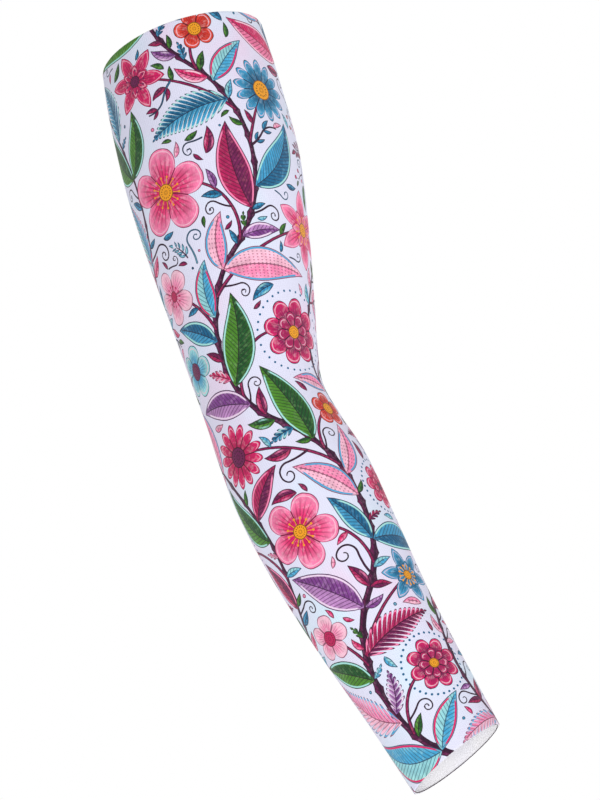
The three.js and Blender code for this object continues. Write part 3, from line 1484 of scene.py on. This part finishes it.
class Workshop:
    """A new material with a Principled shader, and short ways to add its nodes."""

    def __init__(self, name: str) -> None:
        """Makes the material.

        Args:
            name: The material's name.
        """
        self.material = bpy.data.materials.new(name)
        self.material.use_nodes = True
        self.tree = self.material.node_tree
        self.shader = self.tree.nodes["Principled BSDF"]

    def set(self, **sockets: float) -> None:
        """Sets the shader's plain values, each named as its socket with _ for a space."""
        for name, value in sockets.items():
            feed(self.shader.inputs[name.replace("_", " ")], value)

    def tint(self, name: str) -> Tint:
        """Reads one of the piece's own attributes as a colour.

        Args:
            name: The attribute's name.

        Returns:
            The colour.
        """
        node = self.tree.nodes.new("ShaderNodeAttribute")
        node.attribute_name = name
        return Tint(self.tree, node.outputs["Vector"])

    def readings(self, name: str) -> tuple[Reading, Reading, Reading]:
        """Reads one of the piece's own attributes as three numbers.

        Args:
            name: The attribute's name.

        Returns:
            The numbers.
        """
        node = self.tree.nodes.new("ShaderNodeSeparateXYZ")
        feed(node.inputs[0], self.tint(name))
        return tuple(Reading(self.tree, socket) for socket in node.outputs)

    def plain(self, ink: Ink) -> Tint:
        """Gives one ink to start a mix from.

        Args:
            ink: The ink.

        Returns:
            The colour.
        """
        node = self.tree.nodes.new("ShaderNodeRGB")
        node.outputs[0].default_value = (*ink.linear, 1.0)
        return Tint(self.tree, node.outputs[0])

    def noise(self, scale: float, detail: float = 2.0) -> Reading:
        """Gives a soft noise over the piece, from 0 to 1.

        Args:
            scale: Its scale, in spots to the metre.
            detail: Its detail.

        Returns:
            The noise.
        """
        place = self.tree.nodes.new("ShaderNodeTexCoord")
        node = self.tree.nodes.new("ShaderNodeTexNoise")
        feed(node.inputs["Scale"], scale)
        feed(node.inputs["Detail"], detail)
        self.tree.links.new(place.outputs["Object"], node.inputs["Vector"])
        return Reading(self.tree, node.outputs["Fac"])

    def colour(self, tint: Tint) -> None:
        """Gives the shader its colour."""
        feed(self.shader.inputs["Base Color"], tint)

    def relief(self, height: Reading, distance: float, strength: float) -> None:
        """Gives the shader a fine relief.

        Args:
            height: The relief's height, from 0 to 1.
            distance: What a height of 1 stands for.
            strength: How strongly it shows, from 0 to 1.
        """
        node = self.tree.nodes.new("ShaderNodeBump")
        feed(node.inputs["Distance"], distance * MM)
        feed(node.inputs["Strength"], strength)
        feed(node.inputs["Height"], height)
        self.tree.links.new(node.outputs["Normal"], self.shader.inputs["Normal"])


@dataclass(frozen=True)
class KnitFinish:
    """The stretch knit: fine rows of stitches with a soft sheen, drawn from the cloth's own lengths."""

    wale: float = 1.25
    course: float = 1.0
    slant: float = 0.6
    wale_share: float = 0.55
    stitch_height: float = 0.22
    roughness: float = 0.78
    sheen: float = 0.22
    relief: float = 0.5

    def surface(self, shop: Workshop) -> Reading:
        """Sets the cloth's shine and its relief of small V-shaped stitches.

        Args:
            shop: The material's workshop.

        Returns:
            The stitches' height, from 0 to 1, for the painted shade in the hollows between them.
        """
        round_arm, down_arm, _ = shop.readings("cloth")
        wale = (round_arm / self.wale).swing()
        leg = (down_arm / self.course + wale * self.slant).swing()
        height = (wale * self.wale_share + leg * (1.0 - self.wale_share)).rise(0.1, 0.9)
        shop.set(Roughness=self.roughness, Specular_IOR_Level=0.25)
        shop.set(Sheen_Weight=self.sheen, Sheen_Roughness=0.45)
        shop.relief(height, self.stitch_height, self.relief)
        return height


@dataclass(frozen=True)
class Brush:
    """What the print is drawn with: a workshop, how far lines stray, how deep ink is and where it pales."""

    shop: Workshop
    stray: Reading
    depth: Reading
    dapple: Reading


@dataclass(frozen=True)
class BloomReadings:
    """What the cloth stores of its blooms: where on one a point lies, its radius and its cut.

    The distance from its middle, out, is a share of its radius, and far is the same with the line's stray.
    """

    out: Reading
    far: Reading
    turn: Reading
    radius: Reading
    petals: Reading
    depth: Reading
    point: Reading
    inner: Reading
    core: Reading
    halo: Reading

    @classmethod
    def of(cls, brush: Brush) -> BloomReadings:
        """Reads the blooms.

        Args:
            brush: What the print is drawn with.

        Returns:
            The readings.
        """
        right, up, radius = brush.shop.readings("bloom_spot")
        out = (right * right + up * up).math("SQRT")
        turn = up.math("ARCTAN2", right) / FULL_TURN + 0.5
        cut, rows = brush.shop.readings("bloom_cut"), brush.shop.readings("bloom_rows")
        return cls(out, out + brush.stray / radius, turn, radius, *cut, *rows)

    def reach(self, lobe: Reading) -> Reading:
        """Gives how far petals reach, from a lobe of 0 on their middle lines to 1 between two of them."""
        rounded = lobe.math("POWER", LOBE_POWER)
        return 1.0 - self.depth * (rounded + (lobe - rounded) * self.point)

    def off_spoke(self, count: int, out: Reading) -> Reading:
        """Gives how far to one side of the nearest of some even spokes a point lies, this far out."""
        return ((self.turn * float(count)).fraction() - 0.5) * out * self.radius * (FULL_TURN / count)


@dataclass(frozen=True)
class PrintedKnit:
    """The outer face: the knit with painted shade in its hollows, its lavender ground with pale washes, and
    the print drawn from its chart.

    Scales are in spots to the metre, and shades, bleaches, inks and dapples are shares. The last six fields
    are where a thing starts to show and where it shows fully.
    """

    knit: KnitFinish = KnitFinish()
    # Painted shade between stitches: how much lighter the stitches' tops are, and the tone left in their
    # hollows.
    painted_stitch_shade: float = 0.07
    painted_hollow_tone: float = 0.94
    line: float = 0.5
    soft: float = 0.22
    wobble: float = 0.55
    wobble_scale: float = 300.0
    wash_scale: float = 210.0
    wash_least: float = 0.55
    wash_gain: float = 0.9
    dapple_scale: float = 430.0
    dapple_share: float = 0.4
    cool_scale: float = 16.0
    warm_scale: float = 23.0
    warm_share: float = 0.7
    tooth_slant: float = 0.3
    side_light: float = 0.7
    rib: float = 0.34
    trim: float = 1.5
    trim_soft: float = 0.3
    vein_slant: float = 0.38
    dot_rows: float = 0.62
    vein_ink: float = 0.65
    leaf_shade: float = 0.34
    leaf_bleach: float = 0.14
    leaf_dapple: float = 0.8
    petal_shade: float = 0.36
    petal_bleach: float = 0.4
    streaks: float = 3.5
    streak_ink: float = 0.6
    contour: float = 1.9
    contour_ink: float = 0.75
    seeds: float = 14.0
    seed_rings: float = 2.5
    stamens: int = 13
    stamen_reach: float = 0.15
    beads: int = 34
    vein_edge: Span = (0.62, 0.86)
    dot_edge: Span = (0.4, 0.62)
    vein_widths: Span = (0.7, 1.4)
    rib_widths: Span = (1.6, 2.2)
    trim_widths: Span = (2.6, 3.6)
    contour_radii: Span = (9.0, 12.0)

    def make(self) -> bpy.types.Material:
        """Makes the material.

        Returns:
            The material.
        """
        shop = Workshop("printed_knit")
        height = self.knit.surface(shop)
        stray = (shop.noise(self.wobble_scale, detail=1.0) - 0.5) * self.wobble
        depth = shop.noise(self.wash_scale, detail=4.0) * self.wash_gain + self.wash_least
        dapple = shop.noise(self.dapple_scale, detail=4.0).rise(0.48, 0.68) * self.dapple_share
        brush = Brush(shop, stray, depth, dapple)
        bloom = BloomReadings.of(brush)
        tint = self.paint_halo(bloom, self.ground(shop))
        for layer in STROKE_LAYERS:
            tint = self.paint_stroke(brush, layer, tint)
        tint = self.paint_bloom(brush, bloom, tint)
        # Painted shade: the colour is darker in the hollows between stitches than on their tops.
        shop.colour(tint.scaled(height * self.painted_stitch_shade + self.painted_hollow_tone))
        return shop.material

    def ground(self, shop: Workshop) -> Tint:
        """Draws the bare ground, lavender with washes of pale blue and pale pink.

        Args:
            shop: The material's workshop.

        Returns:
            The ground's colour.
        """
        cool = shop.noise(self.cool_scale).rise(0.50, 0.72)
        warm = shop.noise(self.warm_scale).fall(0.30, 0.48) * self.warm_share
        return shop.plain(Ink.LAVENDER).mix(Ink.ICE, cool).mix(Ink.BLUSH, warm)

    def paint_stroke(self, brush: Brush, layer: Layer, under: Tint) -> Tint:
        """Draws one layer of stems, leaves or curls.

        Args:
            brush: What the print is drawn with.
            layer: The layer.
            under: The colour so far.

        Returns:
            The colour with this layer on it.
        """
        shop = brush.shop
        share, left, width = shop.readings(f"{layer.value}_run")
        teeth, depth, veins = shop.readings(f"{layer.value}_cut")
        dark, light, trim = (shop.tint(f"{layer.value}_{part}") for part in StrokeInks._fields)
        off = abs(left + brush.stray * 0.5)
        slant = depth.rise(0.0, 0.5) * self.tooth_slant
        notch = 1.0 - abs(((share * teeth - off * slant) * math.pi).math("SINE"))
        inside = width * (1.0 - depth * notch * notch) - off
        near_edge = (off / width.most(0.5)).rise(0.4, 1.0)
        lit = left.rise(-0.5, 0.5) * self.side_light + near_edge * (1.0 - self.side_light)
        pale = light.mix(Ink.INSIDE, self.leaf_bleach)
        body = dark.mix(light, lit).mix(pale, brush.dapple * self.leaf_dapple).scaled(brush.depth)
        band = inside.rise(self.line, self.line + self.trim_soft) * width.rise(*self.trim_widths)
        band = band * inside.fall(self.trim, self.trim + self.trim_soft)
        body = body.mix(trim, band)
        lines = (share * veins - off * self.vein_slant).swing().rise(*self.vein_edge) * veins.rise(0.0, 1.0)
        spots = ((share * veins).swing() * (off * self.dot_rows + 0.2).swing()).rise(*self.dot_edge)
        marks = lines.most(spots * veins.fall(-1.0, 0.0))
        detail = marks * width.rise(*self.vein_widths) * self.vein_ink * (1.0 - band)
        rib = off.fall(self.rib * 0.5, self.rib) * width.rise(*self.rib_widths)
        edge = inside.fall(self.line, self.line + self.soft)
        drawn = body.mix(dark.scaled(self.leaf_shade).mix(Ink.DARK_PLUM, 0.4), detail.most(rib).most(edge))
        return under.mix(drawn, inside.rise(0.0, self.soft))

    def paint_halo(self, bloom: BloomReadings, under: Tint) -> Tint:
        """Draws a ring of dots round some blooms, which the stems cross.

        Args:
            bloom: The blooms.
            under: The colour so far.

        Returns:
            The colour with the rings on it.
        """
        bead = bloom.off_spoke(self.beads, bloom.out)
        ring = (bloom.out - HALO_RING) * bloom.radius
        dot = (bead * bead + ring * ring).math("SQRT").fall(0.55, 0.8) * bloom.halo
        return under.mix(Ink.TEAL, dot)

    def paint_bloom(self, brush: Brush, bloom: BloomReadings, under: Tint) -> Tint:
        """Draws the blooms: two rows of petals, a dotted middle and stamens.

        Args:
            brush: What the print is drawn with.
            bloom: The blooms.
            under: The colour so far.

        Returns:
            The colour with the blooms on it.
        """
        core_ink, petal_ink, tip_ink = (brush.shop.tint(f"bloom_{part}") for part in BloomInks._fields)
        far, radius, petals, core = bloom.far, bloom.radius, bloom.petals, bloom.core
        drawn = under
        for half_step, size in ((0.0, None), (0.5, bloom.inner)):
            lobe = abs((bloom.turn * petals + half_step).fraction() * 2.0 - 1.0)
            reach = bloom.reach(lobe) if size is None else bloom.reach(lobe) * size
            inside = (reach - far) * radius
            way = far / reach.most(0.05)
            gap = (1.0 - lobe) * far * radius * math.pi / petals
            streak = (lobe * self.streaks + 0.5).swing().rise(0.5, 0.9) * way.fall(0.5, 0.95)
            streak = streak * way.rise(0.1, 0.3) * self.streak_ink
            body = petal_ink.mix(tip_ink, way.rise(0.3, 1.0) * 0.9 if size is None else 0.5)
            body = body.mix(tip_ink.mix(Ink.INSIDE, self.petal_bleach), brush.dapple).scaled(brush.depth)
            edge = inside.fall(self.line, self.line + self.soft)
            edge = edge.most(gap.fall(self.line * 0.5, self.line * 0.5 + self.soft) * petals.rise(1.0, 2.0))
            contour = abs(inside - self.contour).fall(0.18, 0.42) * radius.rise(*self.contour_radii)
            body = body.mix(Ink.PALE_PINK, contour * gap.rise(0.9, 1.5) * self.contour_ink)
            body = body.mix(petal_ink.scaled(self.petal_shade).mix(Ink.DARK_PLUM, 0.35), edge.most(streak))
            drawn = drawn.mix(body, inside.rise(0.0, self.soft))
        drawn = self.paint_stamens(bloom, drawn, core_ink)
        middle = (core - far) * radius
        rings = (far / core.most(0.05) * self.seed_rings).swing()
        dots = ((bloom.turn * self.seeds).swing() * rings).rise(0.35, 0.6)
        button = core_ink.mix(core_ink.scaled(0.25), dots.most(middle.fall(self.line, self.line + self.soft)))
        return drawn.mix(button, middle.rise(0.0, self.soft))

    def paint_stamens(self, bloom: BloomReadings, under: Tint, ink: Tint) -> Tint:
        """Draws fine stamens round the middle of the blooms that have few petals.

        Args:
            bloom: The blooms.
            under: The colour so far.
            ink: The middle's ink.

        Returns:
            The colour with the stamens on it.
        """
        aside = abs(bloom.off_spoke(self.stamens, bloom.far))
        past = (bloom.far - bloom.core - self.stamen_reach) * bloom.radius
        head = (aside * aside + past * past).math("SQRT").fall(0.5, 0.75)
        thread = aside.fall(0.12, 0.3) * past.fall(-0.2, 0.2)
        shown = head.most(thread) * bloom.petals.rise(2.0, 3.0) * bloom.petals.fall(6.5, 7.5)
        return under.mix(ink, shown * bloom.core.fall(0.25, 0.3))


@dataclass(frozen=True)
class PlainKnit:
    """The inner face: the same knit with a lower relief, left white, with a faint painted shade in the
    hollows between stitches.
    """

    knit: KnitFinish = KnitFinish(relief=0.15)
    # Painted shade between stitches: how much lighter the stitches' tops are, and the tone left in their
    # hollows.
    painted_stitch_shade: float = 0.02
    painted_hollow_tone: float = 0.98
    cloud_scale: float = 40.0
    cloud_share: float = 0.3

    def make(self) -> bpy.types.Material:
        """Makes the material.

        Returns:
            The material.
        """
        shop = Workshop("plain_knit")
        height = self.knit.surface(shop)
        clouds = shop.noise(self.cloud_scale).rise(0.4, 0.7) * self.cloud_share
        shade = shop.plain(Ink.INSIDE).mix(Ink.LAVENDER, clouds)
        # Painted shade: the colour is darker in the hollows between stitches than on their tops.
        shop.colour(shade.scaled(height * self.painted_stitch_shade + self.painted_hollow_tone))
        return shop.material


@dataclass(frozen=True)
class ThreadFinish:
    """Sewing thread: a matt twisted yarn in one ink, a little uneven."""

    name: str
    ink: Ink
    other: Ink
    fibre_scale: float = 2600.0

    def make(self) -> bpy.types.Material:
        """Makes the material.

        Returns:
            The material.
        """
        shop = Workshop(self.name)
        fibres = shop.noise(self.fibre_scale, detail=3.0)
        shop.set(Roughness=0.82, Sheen_Weight=0.2, Sheen_Roughness=0.5, Specular_IOR_Level=0.25)
        shop.colour(shop.plain(self.ink).mix(self.other, fibres.rise(0.42, 0.68)))
        shop.relief(fibres, distance=0.12, strength=0.6)
        return shop.material


def new_piece(name: str, shape: bmesh.types.BMesh, materials: list[bpy.types.Material]) -> bpy.types.Object:
    """Makes a smooth-shaded piece that rides on the part.

    Args:
        name: The piece's name.
        shape: Its mesh, in metres, which is used up.
        materials: Its materials.

    Returns:
        The piece.
    """
    mesh = bpy.data.meshes.new(name)
    for one in shape.faces:
        one.smooth = True
    shape.to_mesh(mesh)
    shape.free()
    for material in materials:
        mesh.materials.append(material)
    piece = bpy.data.objects.new(name, mesh)
    bpy.context.scene.collection.objects.link(piece)
    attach(piece, "root")
    LOG.info("%s: %d faces", name, len(mesh.polygons))
    return piece


@dataclass
class SleeveTube:
    """The printed tube: one closed wall with rounded rims, printed outside and white inside."""

    MERGE = 0.01
    GIRTH_MARKS = 200

    arm: Arm
    wall: float = 0.9
    columns: int = 200
    outer_rows: int = 360
    inner_rows: int = 60
    rim_rows: int = 6
    print_share: float = 0.93
    strip_start: float = 0.945

    def wall_path(self) -> np.ndarray:
        """Works out the wall's path: up outside, over the upper rim, down inside and round the wrist rim.

        Returns:
            Distance from the upper rim and lift off the outer face, in millimetres, one row each.
        """
        rim = self.wall / 2.0
        bend = np.linspace(0.0, math.pi, self.rim_rows + 1)
        up = np.linspace(self.arm.length - rim, rim, self.outer_rows + 1)
        down = np.linspace(rim, self.arm.length - rim, self.inner_rows + 1)
        outer = np.stack([up, np.zeros_like(up)], axis=1)
        top = np.stack([rim - rim * np.sin(bend), rim * np.cos(bend) - rim], axis=1)
        inner = np.stack([down, np.full_like(down, -self.wall)], axis=1)
        wrist = np.stack([self.arm.length - rim + rim * np.sin(bend), -rim - rim * np.cos(bend)], axis=1)
        return np.concatenate([outer[:-1], top[:-1], inner[:-1], wrist])

    def build(self) -> bpy.types.Object:
        """Makes the tube and prints it.

        Returns:
            The piece.
        """
        path = self.wall_path()
        rows = len(path) - 1
        shape = bmesh.new()
        shape.loops.layers.uv.new("OFBake")
        bmesh.ops.create_grid(shape, x_segments=self.columns, y_segments=rows, size=0.5, calc_uvs=True)
        flat = np.array([vertex.co for vertex in shape.verts])
        step = np.rint((flat[:, 1] + 0.5) * rows).astype(int)
        placed = self.arm.place(path[step, 0], FULL_TURN * flat[:, 0], path[step, 1])
        for vertex, point in zip(shape.verts, placed):
            vertex.co = point
        bmesh.ops.remove_doubles(shape, verts=shape.verts[:], dist=self.MERGE * MM)
        piece = new_piece("printed_sleeve", shape, [PrintedKnit().make(), PlainKnit().make()])
        self.dress(piece.data, path)
        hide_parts("sleeve_tube")
        return piece

    def dress(self, mesh: bpy.types.Mesh, path: np.ndarray) -> None:
        """Gives the tube its print, its cloth lengths, its inner face's material and its own flat layout.

        Args:
            mesh: The tube's mesh.
            path: The wall's path.
        """
        rows = len(path) - 1
        flat = np.zeros(2 * len(mesh.loops))
        mesh.uv_layers["OFBake"].data.foreach_get("uv", flat)
        flat = flat.reshape(-1, 4, 2)
        step = np.rint(flat[:, :, 1] * rows).astype(int)
        along = path[step, 0]
        angle = FULL_TURN * (flat[:, :, 0] - 0.5)
        first = step.min(axis=1)
        half_rim = self.rim_rows // 2
        outside = (first < self.outer_rows + half_rim) | (first >= rows - half_rim)
        mesh.polygons.foreach_set("material_index", np.where(outside, 0, 1).astype(np.int32))
        round_arm = angle * self.arm.girth(along) / FULL_TURN
        lengths = np.stack([round_arm, along, np.zeros_like(along)], axis=-1)
        mesh.attributes.new("cloth", "FLOAT_VECTOR", "CORNER").data.foreach_set("vector", lengths.ravel())
        printed = np.nonzero(outside)[0]
        chart = PrintChart(self.arm, along[printed], angle[printed])
        VinePrint(chart).grow()
        chart.store(mesh, printed)
        self.lay_out(mesh, flat[:, :, 0], step, outside)

    def lay_out(self, mesh: bpy.types.Mesh, beside: np.ndarray, step: np.ndarray,
                outside: np.ndarray) -> None:
        """Lays the outer face over most of the piece's flat layout and the inner face over a strip beside it.

        Args:
            mesh: The tube's mesh.
            beside: How far round the tube each face's corners lie, from 0 to 1.
            step: The step of the wall's path that each corner lies on.
            outside: Which faces are printed.
        """
        half_rim = self.rim_rows // 2
        rows = self.outer_rows + self.inner_rows + 2 * self.rim_rows
        printed = outside[:, None]
        from_wrist = np.where(printed & (step >= rows - half_rim), step - rows, step)
        outer_up = (from_wrist + half_rim) / (self.outer_rows + self.rim_rows)
        inner_up = (step - self.outer_rows - half_rim) / (self.inner_rows + self.rim_rows)
        inner_beside = self.strip_start + beside * (1.0 - self.strip_start)
        up = np.where(printed, outer_up, inner_up)
        across = np.where(printed, beside * self.print_share, inner_beside)
        mesh.uv_layers["OFBake"].data.foreach_set("uv", np.stack([up, across], axis=-1).ravel())

    def declare(self) -> None:
        """Works out the cloth's flat area and length, and keeps neither.
        """
        girths = self.arm.girth(np.linspace(0.0, self.arm.length, self.GIRTH_MARKS))
        area = float(girths.mean()) * self.arm.length * MM * MM
        self.arm.length * MM


@dataclass
class BackSeam:
    """The flat seam down the back: a thin raised band, sewn with edge stitches and crossing cover threads."""

    arm: Arm
    width: float = 4.6
    clear: float = 0.06
    rise: float = 0.34
    arch: int = 4
    cloth: float = 0.05
    end_gap: float = 0.6
    columns: int = 6
    rows: int = 216
    thread: float = 0.28
    proud: float = 0.3
    pitch: float = 2.4
    first_stitch: float = 2.0
    stitch_trim: float = 3.0
    edge_place: float = 0.38
    edge_length: float = 0.92
    cover_place: float = 0.17
    cover_length: float = 2.3
    cover_slant: float = 42.0
    run_length: int = 8
    stitch_sides: int = 6
    stitch_rows: int = 4

    def band(self, shape: bmesh.types.BMesh) -> None:
        """Adds the raised band.

        Args:
            shape: The seam's mesh.
        """
        made = bmesh.ops.create_grid(shape, x_segments=self.columns, y_segments=self.rows, size=0.5)
        verts = made["verts"]
        flat = np.array([vertex.co for vertex in verts])
        along = (flat[:, 1] + 0.5) * (self.arm.length - 2.0 * self.end_gap) + self.end_gap
        across = flat[:, 0] * self.width
        angle = math.pi - FULL_TURN * across / self.arm.girth(along)
        lift = self.clear + self.rise * np.sqrt(np.clip(1.0 - (2.0 * flat[:, 0]) ** self.arch, 0.0, 1.0))
        for vertex, point in zip(verts, self.arm.place(along, angle, lift)):
            vertex.co = point
        bmesh.ops.recalc_face_normals(shape, faces=shape.faces[:])
        bmesh.ops.solidify(shape, geom=shape.faces[:], thickness=self.cloth * MM)

    def stitch(self, shape: bmesh.types.BMesh, along: float, across: float, length: float,
               slant: float) -> None:
        """Adds one stitch, a short plump run of thread.

        Args:
            shape: The mesh to add it to.
            along: Its middle's distance from the upper rim.
            across: Its middle's distance from the seam's middle.
            length: Its length.
            slant: Its angle from the seam's line.
        """
        angle = math.pi - FULL_TURN * across / float(self.arm.girth(along))
        place = self.arm.frame_at(along, angle, self.clear + self.rise + self.proud * self.thread)
        turn = Matrix.Rotation(math.radians(slant), 4, "Z")
        size = Matrix.Diagonal((self.thread * MM, 0.5 * length * MM, self.thread * MM, 1.0))
        matrix = place @ turn @ size @ Matrix.Rotation(math.pi / 2, 4, "X")
        bmesh.ops.create_uvsphere(shape, u_segments=self.stitch_sides, v_segments=self.stitch_rows,
                                  radius=1.0, matrix=matrix)

    def stitch_run(self, shape: bmesh.types.BMesh, first: int, last: int) -> None:
        """Adds a run of stitches, made apart because a small mesh is quicker to add to.

        Args:
            shape: The seam's mesh.
            first: The number of the first stitch in each row.
            last: The number after the last one.
        """
        run = bmesh.new()
        for number in range(first, last):
            along = self.first_stitch + number * self.pitch
            for side in (-1.0, 1.0):
                edge, cover = side * self.edge_place * self.width, side * self.cover_place * self.width
                self.stitch(run, along, edge, self.pitch * self.edge_length, 0.0)
                self.stitch(run, along + self.pitch / 2, cover, self.cover_length, side * self.cover_slant)
        for one in run.faces:
            one.material_index = 1
        mesh = bpy.data.meshes.new("stitch_run")
        run.to_mesh(mesh)
        run.free()
        shape.from_mesh(mesh)
        bpy.data.meshes.remove(mesh)

    def build(self) -> bpy.types.Object:
        """Makes the seam.

        Returns:
            The piece.
        """
        shape = bmesh.new()
        self.band(shape)
        count = int((self.arm.length - self.stitch_trim) / self.pitch)
        for first in range(0, count, self.run_length):
            self.stitch_run(shape, first, min(first + self.run_length, count))
        band = ThreadFinish("seam_band", Ink.SEAM, Ink.LAVENDER).make()
        thread = ThreadFinish("seam_thread", Ink.SEAM_THREAD, Ink.LILAC).make()
        piece = new_piece("stitched_back_seam", shape, [band, thread])
        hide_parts("back_seam")
        return piece


@dataclass
class WristEdge:
    """The dark edging inside the wrist rim: a fine twisted thread laid round the opening."""

    MERGE = 0.005

    arm: Arm
    inset: float = 0.36
    lift: float = -1.2
    height: float = 0.22
    depth: float = 0.2
    sides: int = 8
    steps: int = 440
    strands: float = 2.0
    twist: float = 0.14
    turns: int = 110

    def build(self) -> bpy.types.Object:
        """Makes the edging.

        Returns:
            The piece.
        """
        shape = bmesh.new()
        bmesh.ops.create_grid(shape, x_segments=self.sides, y_segments=self.steps, size=0.5)
        flat = np.array([vertex.co for vertex in shape.verts])
        around = FULL_TURN * flat[:, 0]
        angle = FULL_TURN * flat[:, 1]
        twist = 1.0 + self.twist * np.cos(self.strands * around + self.turns * angle)
        along = self.arm.length - self.inset + self.height * twist * np.sin(around)
        lift = self.lift + self.depth * twist * np.cos(around)
        for vertex, point in zip(shape.verts, self.arm.place(along, angle, lift)):
            vertex.co = point
        bmesh.ops.remove_doubles(shape, verts=shape.verts[:], dist=self.MERGE * MM)
        bmesh.ops.recalc_face_normals(shape, faces=shape.faces[:])
        finish = ThreadFinish("edge_thread", Ink.EDGE, Ink.DARK_PLUM).make()
        piece = new_piece("twisted_wrist_edge", shape, [finish])
        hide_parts("wrist_edge")
        return piece


@dataclass(frozen=True)
class SoftBox:
    """A square studio light: its name, its place and width in metres, and its power in watts."""

    name: str
    place: tuple[float, float, float]
    width: float
    power: float


@dataclass
class Studio:
    """The plain white studio: a pale floor, soft lights, bright air and the camera, in metres and degrees."""

    WHITE = (1.0, 1.0, 1.0, 1.0)

    aim: tuple[float, float, float] = (0.0241, 0.0, -0.2128)
    distance: float = 2.2
    rise: float = -16.5
    roll: float = 11.9
    frame_height: float = 0.436
    sensor: float = 36.0
    sight: float = 50.0
    floor_reach: float = 25.0
    floor_height: float = -3.2
    floor_glow: float = 0.42
    air: float = 0.48
    lights: tuple[SoftBox, ...] = (
        SoftBox("key_light", (-0.9, -2.2, 0.5), width=1.6, power=1.0),
        SoftBox("fill_light", (1.6, -1.6, 0.1), width=1.4, power=12.0),
        SoftBox("low_light", (-0.15, -1.4, -1.5), width=0.7, power=10.2),
        SoftBox("back_light", (0.4, 2.2, 0.8), width=1.6, power=22.0),
    )

    def camera(self) -> None:
        """Sets the camera at the photograph's angle, below the sleeve and rolled."""
        rise, roll = math.radians(self.rise), math.radians(self.roll)
        ahead = Vector((0.0, math.cos(rise), -math.sin(rise)))
        level = Vector((1.0, 0.0, 0.0))
        upright = level.cross(ahead)
        right = level * math.cos(roll) - upright * math.sin(roll)
        up = level * math.sin(roll) + upright * math.cos(roll)
        lens = bpy.data.cameras.new("camera")
        lens.sensor_width = self.sensor
        lens.lens = self.sensor * self.distance / self.frame_height
        lens.clip_end = self.sight
        camera = bpy.data.objects.new("camera", lens)
        turn = Matrix((right, up, -ahead)).transposed().to_4x4()
        camera.matrix_world = Matrix.Translation(Vector(self.aim) - ahead * self.distance) @ turn
        bpy.context.scene.collection.objects.link(camera)
        bpy.context.scene.camera = camera

    def floor(self) -> None:
        """Lays the pale floor, far below the sleeve."""
        shape = bmesh.new()
        bmesh.ops.create_grid(shape, x_segments=1, y_segments=1, size=self.floor_reach)
        bmesh.ops.translate(shape, verts=shape.verts[:], vec=(0.0, 0.0, self.floor_height))
        mesh = bpy.data.meshes.new("floor")
        shape.to_mesh(mesh)
        shape.free()
        shop = Workshop("pale_floor")
        shop.set(Roughness=0.9, Emission_Strength=self.floor_glow)
        shop.shader.inputs["Emission Color"].default_value = self.WHITE
        shop.colour(shop.plain(Ink.FLOOR).mix(Ink.INSIDE, shop.noise(scale=3.0)))
        mesh.materials.append(shop.material)
        floor = bpy.data.objects.new("floor", mesh)
        bpy.context.scene.collection.objects.link(floor)

    def soft_boxes(self) -> None:
        """Hangs the lights, each turned to the sleeve."""
        for box in self.lights:
            lamp = bpy.data.lights.new(box.name, "AREA")
            lamp.size = box.width
            lamp.energy = box.power
            light = bpy.data.objects.new(box.name, lamp)
            light.visible_camera = False
            away = Vector(box.place) - Vector(self.aim)
            turn = away.to_track_quat("Z", "Y").to_matrix().to_4x4()
            light.matrix_world = Matrix.Translation(box.place) @ turn
            bpy.context.scene.collection.objects.link(light)

    def bright_air(self) -> None:
        """Fills the studio with even light, seen as white behind the sleeve."""
        world = bpy.data.worlds.new("studio_air")
        world.use_nodes = True
        tree = world.node_tree
        soft = tree.nodes["Background"]
        soft.inputs["Color"].default_value = self.WHITE
        soft.inputs["Strength"].default_value = self.air
        white = tree.nodes.new("ShaderNodeBackground")
        white.inputs["Color"].default_value = self.WHITE
        ray = tree.nodes.new("ShaderNodeLightPath")
        choose = tree.nodes.new("ShaderNodeMixShader")
        tree.links.new(ray.outputs["Is Camera Ray"], choose.inputs[0])
        tree.links.new(soft.outputs[0], choose.inputs[1])
        tree.links.new(white.outputs[0], choose.inputs[2])
        tree.links.new(choose.outputs[0], tree.nodes["World Output"].inputs["Surface"])
        bpy.context.scene.world = world

    def build(self) -> None:
        """Sets up the whole studio."""
        self.camera()
        self.floor()
        self.soft_boxes()
        self.bright_air()
        settings = bpy.context.scene.view_settings
        settings.view_transform = "Standard"
        settings.look = "None"


def main() -> None:
    """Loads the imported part, dresses its pieces and sets up the studio."""
    logging.basicConfig(level=logging.INFO, format="%(name)s: %(message)s")
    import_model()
    arm = Arm(ARM_SECTIONS)
    LOG.info("arm length %.1f mm", arm.length)
    Studio().build()
    tube = SleeveTube(arm)
    sleeve = tube.build()
    BackSeam(arm).build()
    WristEdge(arm).build()
    tube.declare()


if __name__ == "__main__":
    main()
